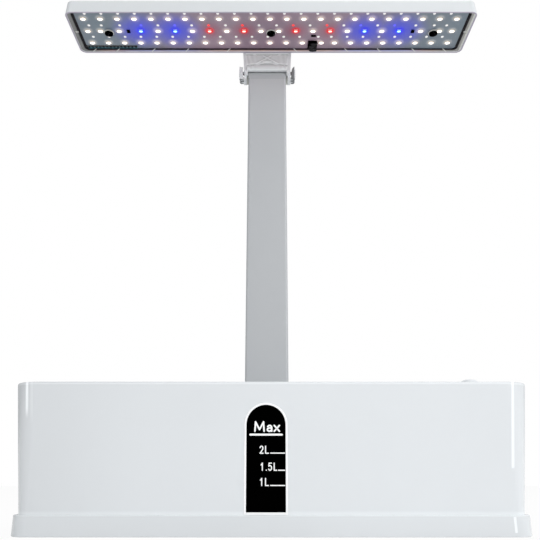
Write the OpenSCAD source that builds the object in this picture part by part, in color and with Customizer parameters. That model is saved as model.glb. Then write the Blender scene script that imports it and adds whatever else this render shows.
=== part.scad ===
// Countertop hydroponic garden: a water tank on a tray, a planting deck with ten net baskets,
// a sliding mast and a tilting grow lamp.
// Millimetres, +Z up. The origin is the centre of the footprint, on the counter.

/* [Tank] */
// Width of the tray that the tank stands in
tray_w = 370.2; // [368:0.2:372]
// Depth of the tray
tray_d = 126.4; // [126:0.2:128]
// Height of the tray's upright edge
tray_h = 15; // [14:0.5:16]
// Width of the ledge between the tray's edge and the tank's wall
ledge = 3.4; // [3:0.1:4]
// Height of the tank's rim above the counter
rim_z = 107.5; // [106:0.5:109]
// How far the tank's walls lean out for each millimetre of height
flare = 0.114; // [0.110:0.001:0.116]
// Corner radius of the tank where it meets the tray
corner_r = 9; // [8:0.5:11]
// Thickness of the tank's walls and floor
wall = 2.5; // [2.2:0.1:2.8]
// Height of the water side of the tank's floor
floor_z = 12.5; // [12:0.5:13]

/* [Level window] */
// Sideways place of the window's centre line
window_x = -4; // [-10:0.5:10]
// Width of the dark window
window_w = 28.4; // [26:0.2:30]
// Height of the window's lower end
window_low = 16.7; // [16.5:0.1:18]
// Height of the window's round upper end
window_high = 90.8; // [85:0.1:94]
// Width of the white border round the window
border = 1.5; // [1:0.1:2]
// Height of the mark for the most water
max_mark = 69.8; // [65:0.1:75]
// Heights of the marks for one, one and a half and two litres
litre_marks = [34.8, 45.2, 57.0];

/* [Deck] */
// Thickness of the planting deck
deck_t = 2.5; // [2:0.1:3]
// Radius of each hole for a net basket
pod_r = 16.2; // [15:0.1:16.5]
// Distance from the middle of the tank to the front row of baskets
front_row = 33; // [32:1:34]
// Depth of a net basket below the deck
basket_h = 42; // [35:1:46]
// Sideways place of the control panel and its push button
panel_x = 152; // [150:1:153]

/* [Mast] */
// Sideways place of the mast
mast_x = -4; // [-6:0.5:-2]
// Distance of the mast's centre behind the middle of the tank
mast_y = 35; // [34:0.5:36]
// Width of the mast
mast_w = 38.6; // [37:0.1:38.8]
// Thickness of the mast
mast_d = 16; // [15.6:0.1:16.2]
// How far the mast slides down into the tank
mast_travel = 50; // [30:1:50]
// Height of the pin that the lamp tilts on
pivot_z = 436; // [430:1:436]

/* [Lamp] */
// Width of the lamp
lamp_w = 395.4; // [394:0.2:397]
// Depth of the lamp
lamp_d = 62.6; // [62:0.2:63]
// Height of the lamp's open underside
lamp_z = 461.8; // [461:0.1:462]
// Height of the lamp's upright sides
lamp_h = 15; // [14:0.2:15.4]
// Height of the bevelled top above the sides
crown_h = 1.2; // [0.8:0.1:1.4]
// Distance between neighbouring light-emitting diodes along a row
led_pitch = 16.51; // [16:0.01:16.6]
// Distance between neighbouring rows of diodes
row_pitch = 18.1; // [17:0.1:18.4]
// Largest turn of a squeeze lever, for which the room beside the bracket is left
lever_turn = 5; // [4:1:5]

/* [Hidden] */
$fn = 64;
eps = 0.01;
fit = 0.05;     // radial clearance of a running fit
slip = 0.3;     // gap between pieces that slide or lift past each other

// Tank and tray
body_w = tray_w - 2 * ledge;
body_d = tray_d - 2 * ledge;
foot_t = 0.5;
tray_floor = 3;
tray_pocket_z = foot_t + tray_floor;
lean = atan(flare);
rim_bevel = 1.2;
foot_r = 8;
foot_x = 165;
foot_y = 47;
screw_places = [for (x = [-125, 0, 125], y = [-44, 44]) [x, y]];
hood_z = floor_z - wall;        // top of the hollow under the tank's floor

// Deck
ledge_w = 3;
deck_z = rim_z - 3.3;
deck_top = deck_z + deck_t;
deck_w = 2 * (half_w(deck_z) - wall - 0.5);
deck_d = 2 * (half_d(deck_z) - wall - 0.5);
deck_r = corner_r + flare * (deck_z - tray_h) - wall - 0.5;
rear_pods = [for (x = [-146, -96, -46, 46, 96]) [mast_x + x, mast_y]];
front_pods = [for (x = [-96, -48, 0, 48, 96]) [mast_x + x, -front_row]];
pods = concat(rear_pods, front_pods);
port_x = -154;
port_y = -34;
port_w = 40;
port_d = 26;

// Control panel
panel_w = 54;
panel_d = 122;
panel_y = 0;
box_w = 36;
box_d = 110;
box_floor_z = 88;
button_y = -48;
button_r = 6.2;
button_flange_r = button_r + 1.4;
button_top = 112.2;
jack_z = 114;
board_z = 94;
board_t = 1.6;

// Pump, hung from the control box
pump_x = panel_x;
pump_y = 0;
pump_r = 17;
pump_low = 22;
pump_high = 46;

// Mast and socket
socket_wall = 2.2;
socket_low = 18;
coil_room = 3.8;                // height that the mast's coiled lead takes when pressed flat
foot_low = socket_low + socket_wall + coil_room + mast_travel;
mast_low = foot_low + 6;
tube_wall = 1.8;
tube_top = pivot_z - 4;
head_r = mast_d / 2;
lead_r = 1.4;

// Lamp
lamp_y = -6;
lamp_rear = lamp_y + lamp_d / 2;
lamp_wall = 1.8;
lamp_r = 4.5;
lamp_bevel = 1.8;                // along the housing's upper edges
lamp_draft = 0.08;
led_face_z = lamp_z + 2.6;
led_t = 1;
pcb_z = led_face_z + led_t;
pcb_t = 1.6;
pcb_gap = 1.5;
pcb_w = lamp_w - 2 * lamp_wall - 2 * pcb_gap;
pcb_d = lamp_d - 2 * lamp_wall - 2 * pcb_gap;
cover_z = lamp_z + 0.3;
cover_t = 1;
led_x0 = -1.2;                  // the diodes sit a little left of the lamp's middle
row_count = 23;
plug_led = 14;                  // the diode in the back row that makes room for the lead's plug
colour_pitch = 34.3;            // the coloured diodes' spacing in the middle row
colour_first = 25.8;
lamp_screw_x = 162.3;
lamp_screw_y = lamp_y + 2.7;
connector_x = 42;

// Tilt bracket: a yoke whose cheeks carry the pin on both sides of the mast's head
cheek_in = mast_w / 2 + 1.85;
cheek_t = 2.9;
cheek_out = cheek_in + cheek_t;
yoke_top_half = 25;
cheek_r = 5.2;
yoke_front = lamp_rear + 0.1;
yoke_plate = 2;
lip_z = pivot_z + 4.4;
yoke_rear = mast_y + 9;
pin_r = 2.5;

// Squeeze levers on the outside of the cheeks
lever_y = mast_y - 3;
lever_w = 9;
lever_t = 2.5;
lever_pin_x = cheek_out + 1.7;
lever_pin_z = pivot_z - 2.2;
lever_pin_r = 0.7;
lug_r = 1.3;
lug_t = 1.5;
lug_y = 2.35;
lever_low = lever_pin_z - 1.7;
lever_top = pivot_z + 10;
lever_in = cheek_out + 0.9 + (lever_top - lever_pin_z) * sin(lever_turn);

// Half the tank's outer width and depth at height z
function half_w(z) = body_w / 2 + flare * (z - tray_h);
function half_d(z) = body_d / 2 + flare * (z - tray_h);

// ---- shared shapes ----

// Flat outline with round corners
module rounded(w, d, r) {
    square([w - 2 * r, d], center = true);
    square([w, d - 2 * r], center = true);
    for (x = [-1, 1], y = [-1, 1])
        translate([x * (w / 2 - r), y * (d / 2 - r)]) circle(r);
}

// Upright block with round corners, its base at height z
module block(w, d, r, z, h) {
    translate([0, 0, z]) linear_extrude(h) rounded(w, d, r);
}

// Block whose four walls and corners lean out by slope for each millimetre of height
module leaning_block(w, d, r, z, h, slope) {
    out = slope * h;
    translate([0, 0, z]) {
        rotate([90, 0, 90]) linear_extrude(w - 2 * r, center = true)
            polygon([[-d / 2, 0], [d / 2, 0], [d / 2 + out, h], [-d / 2 - out, h]]);
        rotate([90, 0, 0]) linear_extrude(d - 2 * r, center = true)
            polygon([[-w / 2, 0], [w / 2, 0], [w / 2 + out, h], [-w / 2 - out, h]]);
        for (x = [-1, 1], y = [-1, 1])
            translate([x * (w / 2 - r), y * (d / 2 - r), 0]) cylinder(h, r, r + out);
    }
}

// The tank's leaning form, taken in by inset, from one height to another
module tank_form(inset, low, high) {
    r = corner_r + flare * (low - tray_h) - inset;
    leaning_block(2 * (half_w(low) - inset), 2 * (half_d(low) - inset), r, low, high - low, flare);
}

module ring(outer, inner, z, h) {
    translate([0, 0, z]) difference() {
        cylinder(h, r = outer);
        translate([0, 0, -1]) cylinder(h + 2, r = inner);
    }
}

// Screw with a round head below its shaft, both along +Z
module screw(head_r, head_h, shaft_r, shaft_h) {
    cylinder(head_h, r = head_r);
    translate([0, 0, head_h]) cylinder(shaft_h, r = shaft_r);
}

// Tube swept along a list of points
function unit(v) = v / norm(v);
function along(p, i) = unit(p[min(i + 1, len(p) - 1)] - p[max(i - 1, 0)]);
function side(p, i) = i == 0
    ? unit(cross(along(p, 0), [0.31, 0.83, 0.46]))
    : let (before = side(p, i - 1), t = along(p, i)) unit(before - (before * t) * t);
function soften(p) = [p[0],
    for (i = [0 : len(p) - 2]) each [0.75 * p[i] + 0.25 * p[i + 1], 0.25 * p[i] + 0.75 * p[i + 1]],
    p[len(p) - 1]];
module lead(p, r) {
    n = 8;
    last = len(p) - 1;
    points = [for (i = [0 : last]) let (s = side(p, i), b = cross(along(p, i), s))
              for (k = [0 : n - 1]) p[i] + r * (cos(360 * k / n) * s + sin(360 * k / n) * b)];
    walls = [for (i = [0 : last - 1], k = [0 : n - 1])
             [i * n + k, i * n + (k + 1) % n, (i + 1) * n + (k + 1) % n, (i + 1) * n + k]];
    ends = [[for (k = [n - 1 : -1 : 0]) k], [for (k = [0 : n - 1]) last * n + k]];
    polyhedron(points, [for (f = concat(walls, ends)) [for (j = [len(f) - 1 : -1 : 0]) f[j]]]);
}

// ---- tray and tank ----

module base_tray() {
    bevel = 0.8;
    color("white") difference() {
        union() {
            block(tray_w, tray_d, corner_r + ledge, foot_t, tray_h - foot_t - bevel);
            leaning_block(tray_w, tray_d, corner_r + ledge, tray_h - bevel, bevel, -1);
        }
        block(body_w + 2 * slip, body_d + 2 * slip, corner_r + slip, tray_pocket_z, tray_h);
        for (x = [-1, 1], y = [-1, 1])
            translate([x * foot_x, y * foot_y, 0]) cylinder(foot_t + 1.5, r = foot_r + 0.1);
        for (p = screw_places)
            translate([p[0], p[1], 0]) {
                cylinder(foot_t + 1.7, r = 3.2);
                cylinder(tray_h, r = 1.7);
            }
    }
}

module rubber_feet() {
    color("dimgray")
        for (x = [-1, 1], y = [-1, 1])
            translate([x * foot_x, y * foot_y, 0]) cylinder(foot_t + 1.5, r = foot_r);
}

module tray_screws() {
    color("silver")
        for (p = screw_places)
            translate([p[0], p[1], foot_t + 0.2]) screw(2.9, 1.5, 1.5, 6.8);
}

module water_tank() {
    color("white") difference() {
        union() {
            block(body_w, body_d, corner_r, tray_pocket_z, tray_h - tray_pocket_z);
            tank_form(0, tray_h, rim_z - rim_bevel);
            leaning_block(2 * half_w(rim_z - rim_bevel), 2 * half_d(rim_z - rim_bevel),
                          corner_r + flare * (rim_z - rim_bevel - tray_h),
                          rim_z - rim_bevel, rim_bevel, -0.5);
        }
        // water space, narrower below the ledge that the deck rests on
        tank_form(wall, floor_z, deck_z - 2);
        block(deck_w + 1 - 2 * ledge_w, deck_d + 1 - 2 * ledge_w, deck_r - ledge_w + 0.5,
              deck_z - 3, 4);
        tank_form(wall, deck_z, rim_z + 1);
        // hollow under the floor, between the screw bosses and ribs
        difference() {
            block(body_w - 2 * wall, body_d - 2 * wall, corner_r - wall,
                  tray_pocket_z - 1, hood_z - tray_pocket_z + 1);
            for (p = screw_places) translate([p[0], p[1], 0]) cylinder(hood_z, r = 4);
            for (x = [-60, 60]) translate([x - 1, -tray_d / 2, 0]) cube([2, tray_d, hood_z]);
        }
        for (p = screw_places) translate([p[0], p[1], 0]) cylinder(hood_z - 0.6, r = 1.5);
        // opening for the level window
        on_front_wall() translate([0, 0, -6]) linear_extrude(9) arch(border);
    }
}

// ---- level window: drawn in the plane of the leaning front wall, outwards along +Z ----

wall_n = wall * cos(lean);
window_l = (window_high - window_low) / cos(lean);
gasket_t = 0.8;

module on_front_wall() {
    translate([window_x, -half_d(window_low), window_low]) rotate([90 + lean, 0, 0]) children();
}

// The window's outline, grown by more all round
module arch(more) {
    r = window_w / 2 + more;
    translate([-r, -more]) square([2 * r, window_l - window_w / 2 + more]);
    translate([0, window_l - window_w / 2]) circle(r);
}

module arch_ring(outer, inner, low, high) {
    translate([0, 0, low]) linear_extrude(high - low) difference() {
        arch(outer);
        arch(inner);
    }
}

module level_window() {
    low = -wall_n - gasket_t;
    color([0.05, 0.05, 0.06, 0.9])
        on_front_wall() translate([0, 0, low]) linear_extrude(-low - 0.1) arch(-0.05);
}

module window_frame() {
    low = -wall_n - gasket_t;
    color("white") on_front_wall() {
        arch_ring(border - 0.05, 0, low - 1.2, 0.35);
        arch_ring(border + 2, -1.2, low - 1.2, low);
    }
}

module window_gasket() {
    color("dimgray") on_front_wall()
        arch_ring(border + 1.9, border, -wall_n - gasket_t + eps, -wall_n - eps);
}

// One printed mark: a thin bar at height z, from x0 to x1 in the tank's own frame
module mark(z, x0, x1, t) {
    v = (z - window_low) / cos(lean);
    translate([x0 - window_x, v - t / 2, -0.1]) cube([x1 - x0, t, 0.12]);
}

module scale_marks() {
    color("white") on_front_wall() {
        mark(max_mark, -16.1, 8.2, 1.4);
        mark(litre_marks[0], -1, 9.9, 0.9);
        mark(litre_marks[1], 4.8, 9.9, 0.9);
        mark(litre_marks[2], -1, 9.9, 0.9);
    }
}

// ---- planting deck and what it carries ----

module planting_deck() {
    rib = 1.6;
    inner_w = deck_w - 2 * ledge_w - 2;
    inner_d = deck_d - 2 * ledge_w - 2;
    color("white") difference() {
        union() {
            block(deck_w, deck_d, deck_r, deck_z, deck_t);
            // stiffening rib inside the tank's ledge
            difference() {
                block(inner_w, inner_d, deck_r - 4, deck_z - 5, 5 + eps);
                block(inner_w - 2 * rib, inner_d - 2 * rib, deck_r - 4 - rib, deck_z - 6, 7);
            }
            // low collar round each basket
            for (p = pods) translate([p[0], p[1], 0]) ring(20.4, 19, deck_top - eps, 0.8);
            // walls of the control box
            translate([panel_x, panel_y, 0])
                block(box_w + 4, box_d + 4, 4, box_floor_z, deck_z - box_floor_z + eps);
            // neck of the filling port and the lugs of its lid
            translate([port_x, port_y, 0]) block(port_w + 4, port_d + 4, 5, deck_z - 9, 9 + eps);
            for (x = [-1, 1]) translate([port_x, 0, 0]) lid_lug(x);
            // sockets for the cover's four screws
            for (p = cover_screw_places) translate([p[0], p[1], deck_z - 5]) cylinder(5 + eps, r = 3);
        }
        for (p = pods) translate([p[0], p[1], deck_z - 8]) cylinder(20, r = pod_r);
        translate([panel_x, panel_y, 0])
            block(box_w, box_d, 2, box_floor_z + 2, deck_top);
        translate([port_x, port_y, 0]) block(port_w, port_d, 3, deck_z - 12, 20);
        translate([mast_x, mast_y, 0]) block(socket_w + slip, socket_d + slip, 4.2, deck_z - 1, 6);
        for (p = socket_screw_places) translate([p[0], p[1], deck_z - 1]) cylinder(6, r = 1.5);
        for (p = cover_screw_places) translate([p[0], p[1], deck_z - 4]) cylinder(9, r = 1.25);
        // room for the button's flange
        translate([panel_x, button_y, deck_z - 1.5]) cylinder(9, r = button_flange_r + 0.4);
        // lead and stem passages in the floor of the control box
        translate([pump_x, pump_y, box_floor_z - 1]) cylinder(4, r = 4.1);
        translate([pump_x, pump_y - 10, box_floor_z - 1]) cylinder(4, r = lead_r + 0.2);
        translate([panel_x - 12, 30, box_floor_z - 1]) cylinder(4, r = lead_r + 0.2);
    }
    // posts whose pins hold the control board
    color("white") for (p = post_places) translate([p[0], p[1], box_floor_z + 2 - eps]) {
        cylinder(board_z - box_floor_z - 2 + eps, r = 3);
        cylinder(board_z - box_floor_z + 0.4, r = 1.4);
    }
}
post_places = [for (x = [-1, 1], y = [-1, 1]) [panel_x + x * 13, y * 47]];

cover_screw_places = [for (x = [-1, 1], y = [-1, 1]) [panel_x + x * (panel_w / 2 - 4), y * 54]];

// Hinge of the filling port's lid
lid_axis_y = port_y + port_d / 2 + 5.4;
lid_axis_z = deck_top + 2.3;
lid_pin_r = 0.9;
module lid_lug(x) {
    difference() {
        union() {
            translate([x * 17 - 1.5, lid_axis_y - 2, deck_top - eps]) cube([3, 4, 2.3]);
            translate([x * 17 - 1.5, lid_axis_y, lid_axis_z]) rotate([0, 90, 0]) cylinder(3, r = 2);
        }
        translate([x * 17 - 3, lid_axis_y, lid_axis_z]) rotate([0, 90, 0]) cylinder(6, r = lid_pin_r);
    }
}

module fill_lid() {
    lid_z = deck_top + 0.3;
    color("white") translate([port_x, 0, 0]) difference() {
        union() {
            translate([0, port_y - 1, 0]) block(port_w + 6, port_d + 8, 4, lid_z, 1.8);
            translate([-15, lid_axis_y, lid_axis_z]) rotate([0, 90, 0]) cylinder(30, r = 1.9);
            translate([-15, lid_axis_y - 3, lid_z]) cube([30, 3, 1.8]);
        }
        translate([-16, lid_axis_y, lid_axis_z]) rotate([0, 90, 0]) cylinder(32, r = lid_pin_r + fit);
        for (x = [-1, 1]) translate([x * 17 - 2.1, lid_axis_y - 2.5, lid_z - 1]) cube([4.2, 6, 6]);
        // thumb notch in the front edge
        translate([0, port_y - 1 - port_d / 2 - 9, lid_z - 1]) cylinder(4, r = 8);
    }
}

module fill_lid_pin() {
    color("silver") translate([port_x - 18.5, lid_axis_y, lid_axis_z])
        rotate([0, 90, 0]) cylinder(37, r = lid_pin_r);
}

// Low panel over the control box, with a hood for the power socket at the back
cover_top = deck_top + 1.9;
hood_w = 26;
hood_y0 = 44;
hood_y1 = panel_d / 2 - 1;
hood_top = jack_z + 6.5;
module control_cover() {
    color("whitesmoke") difference() {
        union() {
            translate([panel_x, panel_y, 0]) block(panel_w, panel_d, 6, deck_top, 1.9);
            translate([panel_x, button_y, 0]) cylinder(cover_top + 0.6, r = 9.2);
            translate([panel_x - hood_w / 2, hood_y0, deck_top])
                cube([hood_w, hood_y1 - hood_y0, hood_top - deck_top]);
        }
        translate([0, 0, deck_top - 120]) cube([400, 400, 240], center = true);
        translate([panel_x, button_y, deck_top - 1]) cylinder(9, r = button_r + slip);
        translate([panel_x, button_y, deck_top - 1]) cylinder(1.6, r = button_r + 1.8);
        translate([panel_x - hood_w / 2 + 1.6, hood_y0 + 1.6, deck_top - 1])
            cube([hood_w - 3.2, hood_y1 - hood_y0 - 3.2, hood_top - deck_top - 0.6]);
        translate([panel_x, hood_y1 - 4, jack_z]) rotate([-90, 0, 0]) cylinder(9, r = 4.6);
        for (p = cover_screw_places) translate([p[0], p[1], deck_top - 1]) {
            cylinder(9, r = 1.5);
            translate([0, 0, 1.7]) cylinder(9, r = 2.6);
        }
    }
}

module cover_screws() {
    color("silver") for (p = cover_screw_places)
        translate([p[0], p[1], cover_top]) rotate([180, 0, 0]) screw(2.4, 1.1, 1.25, 5);
}

// Controller, regulator and connectors: place of a corner on the board, and size
board_blocks = [[-8, 6, [12, 12, 1.6]], [6, -16, [7, 9, 4]], [-15, 24, [8, 7, 6]],
                [-6, -14, [8, 7, 5]]];
module control_board() {
    color("darkgreen") translate([panel_x, panel_y, 0]) difference() {
        union() {
            block(box_w - 2, box_d - 4, 2, board_z, board_t);
            for (c = board_blocks) translate([c[0], c[1], board_z + board_t - eps]) cube(c[2]);
        }
        for (p = post_places)
            translate([p[0] - panel_x, p[1] - panel_y, board_z - 1]) cylinder(4, r = 1.6);
    }
}

module button_switch() {
    color("black") translate([panel_x, button_y, board_z + board_t]) {
        translate([-3, -3, 0]) cube([6, 6, 3.5]);
        cylinder(deck_z - 1.7 - board_z - board_t, r = 1.7);
    }
}

module button_cap() {
    dome_r = 14;
    color("gainsboro") translate([panel_x, button_y, 0]) {
        translate([0, 0, deck_top - 1.2]) cylinder(1.4, r = button_flange_r);
        translate([0, 0, deck_z - 0.2]) cylinder(2, r = 3);
        intersection() {
            translate([0, 0, deck_top - 1.2]) cylinder(button_top, r = button_r);
            translate([0, 0, button_top - dome_r]) sphere(dome_r);
        }
    }
}

module power_jack() {
    back = hood_y1 + 0.6;
    color("black") translate([panel_x, 0, jack_z]) difference() {
        union() {
            translate([0, hood_y1 - 14, 0]) rotate([-90, 0, 0]) cylinder(14.6, r = 4.5);
            translate([-6, hood_y1 - 13, -5.5]) cube([12, 11, 10]);
        }
        translate([0, back - 9, 0]) rotate([-90, 0, 0]) difference() {
            cylinder(10, r = 2.75);
            translate([0, 0, -1]) cylinder(9.5, r = 0.95);
        }
    }
}

// ---- pump ----

module pump_body() {
    color("dimgray") translate([pump_x, pump_y, 0]) difference() {
        union() {
            translate([0, 0, pump_low]) cylinder(pump_high - pump_low, r = pump_r);
            translate([pump_r - 3, -4, pump_low]) cube([6, 8, 9]);
            translate([0, 0, pump_high - eps]) cylinder(3, r = 6);
        }
        translate([0, 0, pump_low - 1]) cylinder(7, r = 12.5);
        translate([0, 0, pump_low]) cylinder(18, r = 6.4);
        translate([0, 0, pump_low]) cylinder(21, r = 1);
        translate([8, 0, pump_low + 3]) rotate([0, 90, 0]) cylinder(20, r = 2.5);
        translate([0, 0, pump_high + 0.5]) cylinder(4, r = 4);
        translate([0, -10, pump_high - 3]) cylinder(6, r = lead_r);
    }
}

module pump_strainer() {
    low = pump_low - 7.5;
    color("black") translate([pump_x, pump_y, 0]) difference() {
        translate([0, 0, low]) cylinder(pump_low - low, r = pump_r);
        translate([0, 0, low + 1.8]) cylinder(20, r = pump_r - 1.8);
        for (a = [0 : 20 : 340]) rotate([0, 0, a])
            translate([pump_r - 4, -1.1, low + 2.6]) cube([8, 2.2, 3]);
        for (x = [-9 : 4.5 : 9]) translate([x - 0.9, -8, low - 1]) cube([1.8, 16, 4]);
    }
}

module impeller() {
    color("ivory") translate([pump_x, pump_y, 0]) difference() {
        union() {
            translate([0, 0, pump_low + 0.6]) cylinder(16.6, r = 5.6);
            translate([0, 0, pump_low + 4.6]) cylinder(1, r = 11.6);
            for (a = [0 : 60 : 300]) rotate([0, 0, a])
                translate([4, -0.7, pump_low + 0.6]) cube([7.4, 1.4, 4.2]);
        }
        cylinder(60, r = 1 + fit);
    }
}

module impeller_shaft() {
    color("silver") translate([pump_x, pump_y, pump_low + 0.2]) cylinder(20.6, r = 1);
}

module pump_stem() {
    color("whitesmoke") translate([pump_x, pump_y, 0]) {
        ring(4, 2.6, pump_high + 0.5, box_floor_z + 4 - pump_high - 0.5);
        ring(7, 4 - eps, box_floor_z - 2, 2);
    }
}

// Leads from the control board down to the pump and up to the power socket
pump_lead_points = [[0, -10, 43], [0, -10, 48], [0, -10, 60], [0, -9, 70], [0, -10, 80],
                    [0, -10, 88], [0, -10, 94]];
jack_lead_points = [[0, 50, 108.5], [0, 50, 105], [0, 46, 100], [0, 44, 97.5], [0, 44, 95.6]];
module inner_leads() {
    color("black") {
        translate([pump_x, pump_y, 0]) lead(pump_lead_points, lead_r - 0.1);
        translate([panel_x, 0, 0]) lead(soften(jack_lead_points), lead_r - 0.4);
    }
}

// ---- mast socket ----

socket_w = mast_w + 2 * slip + 2 * socket_wall;
socket_d = mast_d + 2 * slip + 2 * socket_wall;
socket_screw_places = [for (x = [-1, 1], y = [-1, 1]) [mast_x + x * 18, mast_y + y * 13.6]];
flange_z = deck_top + 2.4;
module mast_socket() {
    color("whitesmoke") difference() {
        translate([mast_x, mast_y, 0]) {
            block(socket_w, socket_d, 4, socket_low, flange_z - socket_low);
            block(socket_w + 6, socket_d + 12, 5, deck_top, 2.4);
        }
        translate([mast_x, mast_y, 0])
            block(mast_w + 2 * slip, mast_d + 2 * slip, 2.2, socket_low + 2, flange_z);
        // seat of the wiper seal, and the lead's way into the well
        translate([mast_x, mast_y, 0]) block(mast_w + 2.6, mast_d + 2.6, 3, deck_top + 0.8, 4);
        translate([mast_x + socket_w / 2 - 5, mast_y, socket_low + 3.4])
            rotate([0, 90, 0]) cylinder(9, r = lead_r);
        for (p = socket_screw_places) translate([p[0], p[1], deck_top - 1]) cylinder(9, r = 1.7);
    }
}

module mast_seal() {
    color("dimgray") translate([mast_x, mast_y, 0]) difference() {
        block(mast_w + 2.6, mast_d + 2.6, 3, deck_top + 0.8, 1.6);
        block(mast_w + 2 * fit, mast_d + 2 * fit, 2 + fit, deck_top, 4);
    }
}

module socket_screws() {
    color("silver") for (p = socket_screw_places)
        translate([p[0], p[1], flange_z + 1.4]) rotate([180, 0, 0]) screw(2.8, 1.4, 1.5, 6);
}

// The lamp's lead below the deck: from the control box down the socket into its well
lead_side = mast_x + socket_w / 2 + lead_r + 0.6;
socket_lead_points = [[panel_x - 12, 30, 94], [panel_x - 12, 30, 88], [panel_x - 12, 30, 84],
                      [panel_x - 22, 36, 80], [panel_x - 40, mast_y + 14, 78],
                      [70, 57, 77], [40, 57, 74], [lead_side + 4, 48, 68], [lead_side, 40, 58],
                      [lead_side, mast_y, 44], [lead_side, mast_y, 30],
                      [lead_side - 0.4, mast_y, socket_low + 4.4],
                      [lead_side - 3, mast_y, socket_low + 3.4],
                      [lead_side - 10, mast_y, socket_low + 3.4],
                      [mast_x + 7, mast_y, socket_low + 3.4]];
module socket_lead() {
    color("black") lead(soften(socket_lead_points), lead_r - 0.1);
}

// The slack that lets the mast slide: a coil in the well, whose last half turn closes to the middle
coil_turns = 5;
coil_steps = 12 * coil_turns;
coil_r = 5.6;
coil_low = socket_low + 3.4;
coil_high = foot_low - lead_r;
coil_points = [for (i = [0 : coil_steps]) let (a = 30 * i, r = coil_r * min(1, (coil_steps - i) / 6))
               [r * cos(a), r * sin(a), coil_low + (coil_high - coil_low) * i / coil_steps]];
module lead_coil() {
    color("black") translate([mast_x, mast_y, 0]) lead(coil_points, lead_r - 0.2);
}

// ---- net baskets ----

module basket(p) {
    low = deck_top - basket_h;
    top_r = pod_r - 0.4;
    low_r = 11.5;
    t = 1.4;
    color("whitesmoke") translate([p[0], p[1], 0]) difference() {
        union() {
            translate([0, 0, low]) cylinder(basket_h + eps, low_r, top_r);
            translate([0, 0, deck_top]) cylinder(1.8, r = 18.4);
        }
        translate([0, 0, low + t]) cylinder(basket_h + 2 - t, low_r - t, top_r - t);
        for (a = [0 : 60 : 300]) rotate([0, 0, a])
            translate([6, -1.8, low + 5]) cube([12, 3.6, basket_h - 13]);
        translate([0, 0, low - 1]) cylinder(4, r = 5);
    }
}

module basket_1() { basket(pods[0]); }
module basket_2() { basket(pods[1]); }
module basket_3() { basket(pods[2]); }
module basket_4() { basket(pods[3]); }
module basket_5() { basket(pods[4]); }
module basket_6() { basket(pods[5]); }
module basket_7() { basket(pods[6]); }
module basket_8() { basket(pods[7]); }
module basket_9() { basket(pods[8]); }
module basket_10() { basket(pods[9]); }

// ---- mast ----

module mast_tube() {
    color("darkgray") translate([mast_x, mast_y, 0]) difference() {
        block(mast_w, mast_d, 2, mast_low, tube_top - mast_low);
        block(mast_w - 2 * tube_wall, mast_d - 2 * tube_wall, 0.6, mast_low - 1, tube_top);
    }
}

// The mast's two plugs fit inside its tube with a little glue room
plug_w = mast_w - 2 * tube_wall - 0.2;
plug_d = mast_d - 2 * tube_wall - 0.2;

// End cap of the mast: round about the tilt pins, with a slot for the lead
module mast_head() {
    plug_h = 18;
    slot_w = 7;
    color("darkgray") translate([mast_x, mast_y, 0]) difference() {
        union() {
            block(mast_w, mast_d, 2, tube_top, pivot_z - tube_top);
            block(plug_w, plug_d, 0.5, tube_top - plug_h, plug_h + eps);
            intersection() {
                translate([-mast_w / 2, 0, pivot_z]) rotate([0, 90, 0]) cylinder(mast_w, r = head_r);
                translate([-mast_w, -mast_d, tube_top]) cube([2 * mast_w, 2 * mast_d, 2 * head_r]);
            }
        }
        translate([-mast_w, 0, pivot_z]) rotate([0, 90, 0]) cylinder(2 * mast_w, r = pin_r + fit);
        translate([0, 0, tube_top - plug_h - 1]) cylinder(plug_h + 4, r = lead_r + 0.2);
        // fan-shaped slot, in which the lead swings as the lamp tilts
        translate([0, 0, pivot_z]) rotate([90, 0, 90]) linear_extrude(slot_w, center = true)
            polygon([[-2.4, -3], [2.4, -3], [12, 3.5], [12, 14], [-11, 14], [-2.4, 1]]);
    }
}

// Shoe at the foot of the mast, which guides it in the socket
module mast_foot() {
    color("dimgray") translate([mast_x, mast_y, 0]) difference() {
        union() {
            block(mast_w + 0.4, mast_d + 0.4, 2.1, foot_low, mast_low - foot_low);
            block(plug_w, plug_d, 0.5, mast_low - eps, 12);
        }
        translate([0, 0, foot_low - 1]) cylinder(30, r = lead_r + 0.2);
    }
}

module mast_lead() {
    spans = 18;
    step = (pivot_z - 1 - foot_low) / spans;
    color("black") translate([mast_x, mast_y, 0])
        lead([for (i = [0 : spans]) [0, 0, foot_low + i * step]], lead_r);
}

// ---- lamp ----

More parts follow.
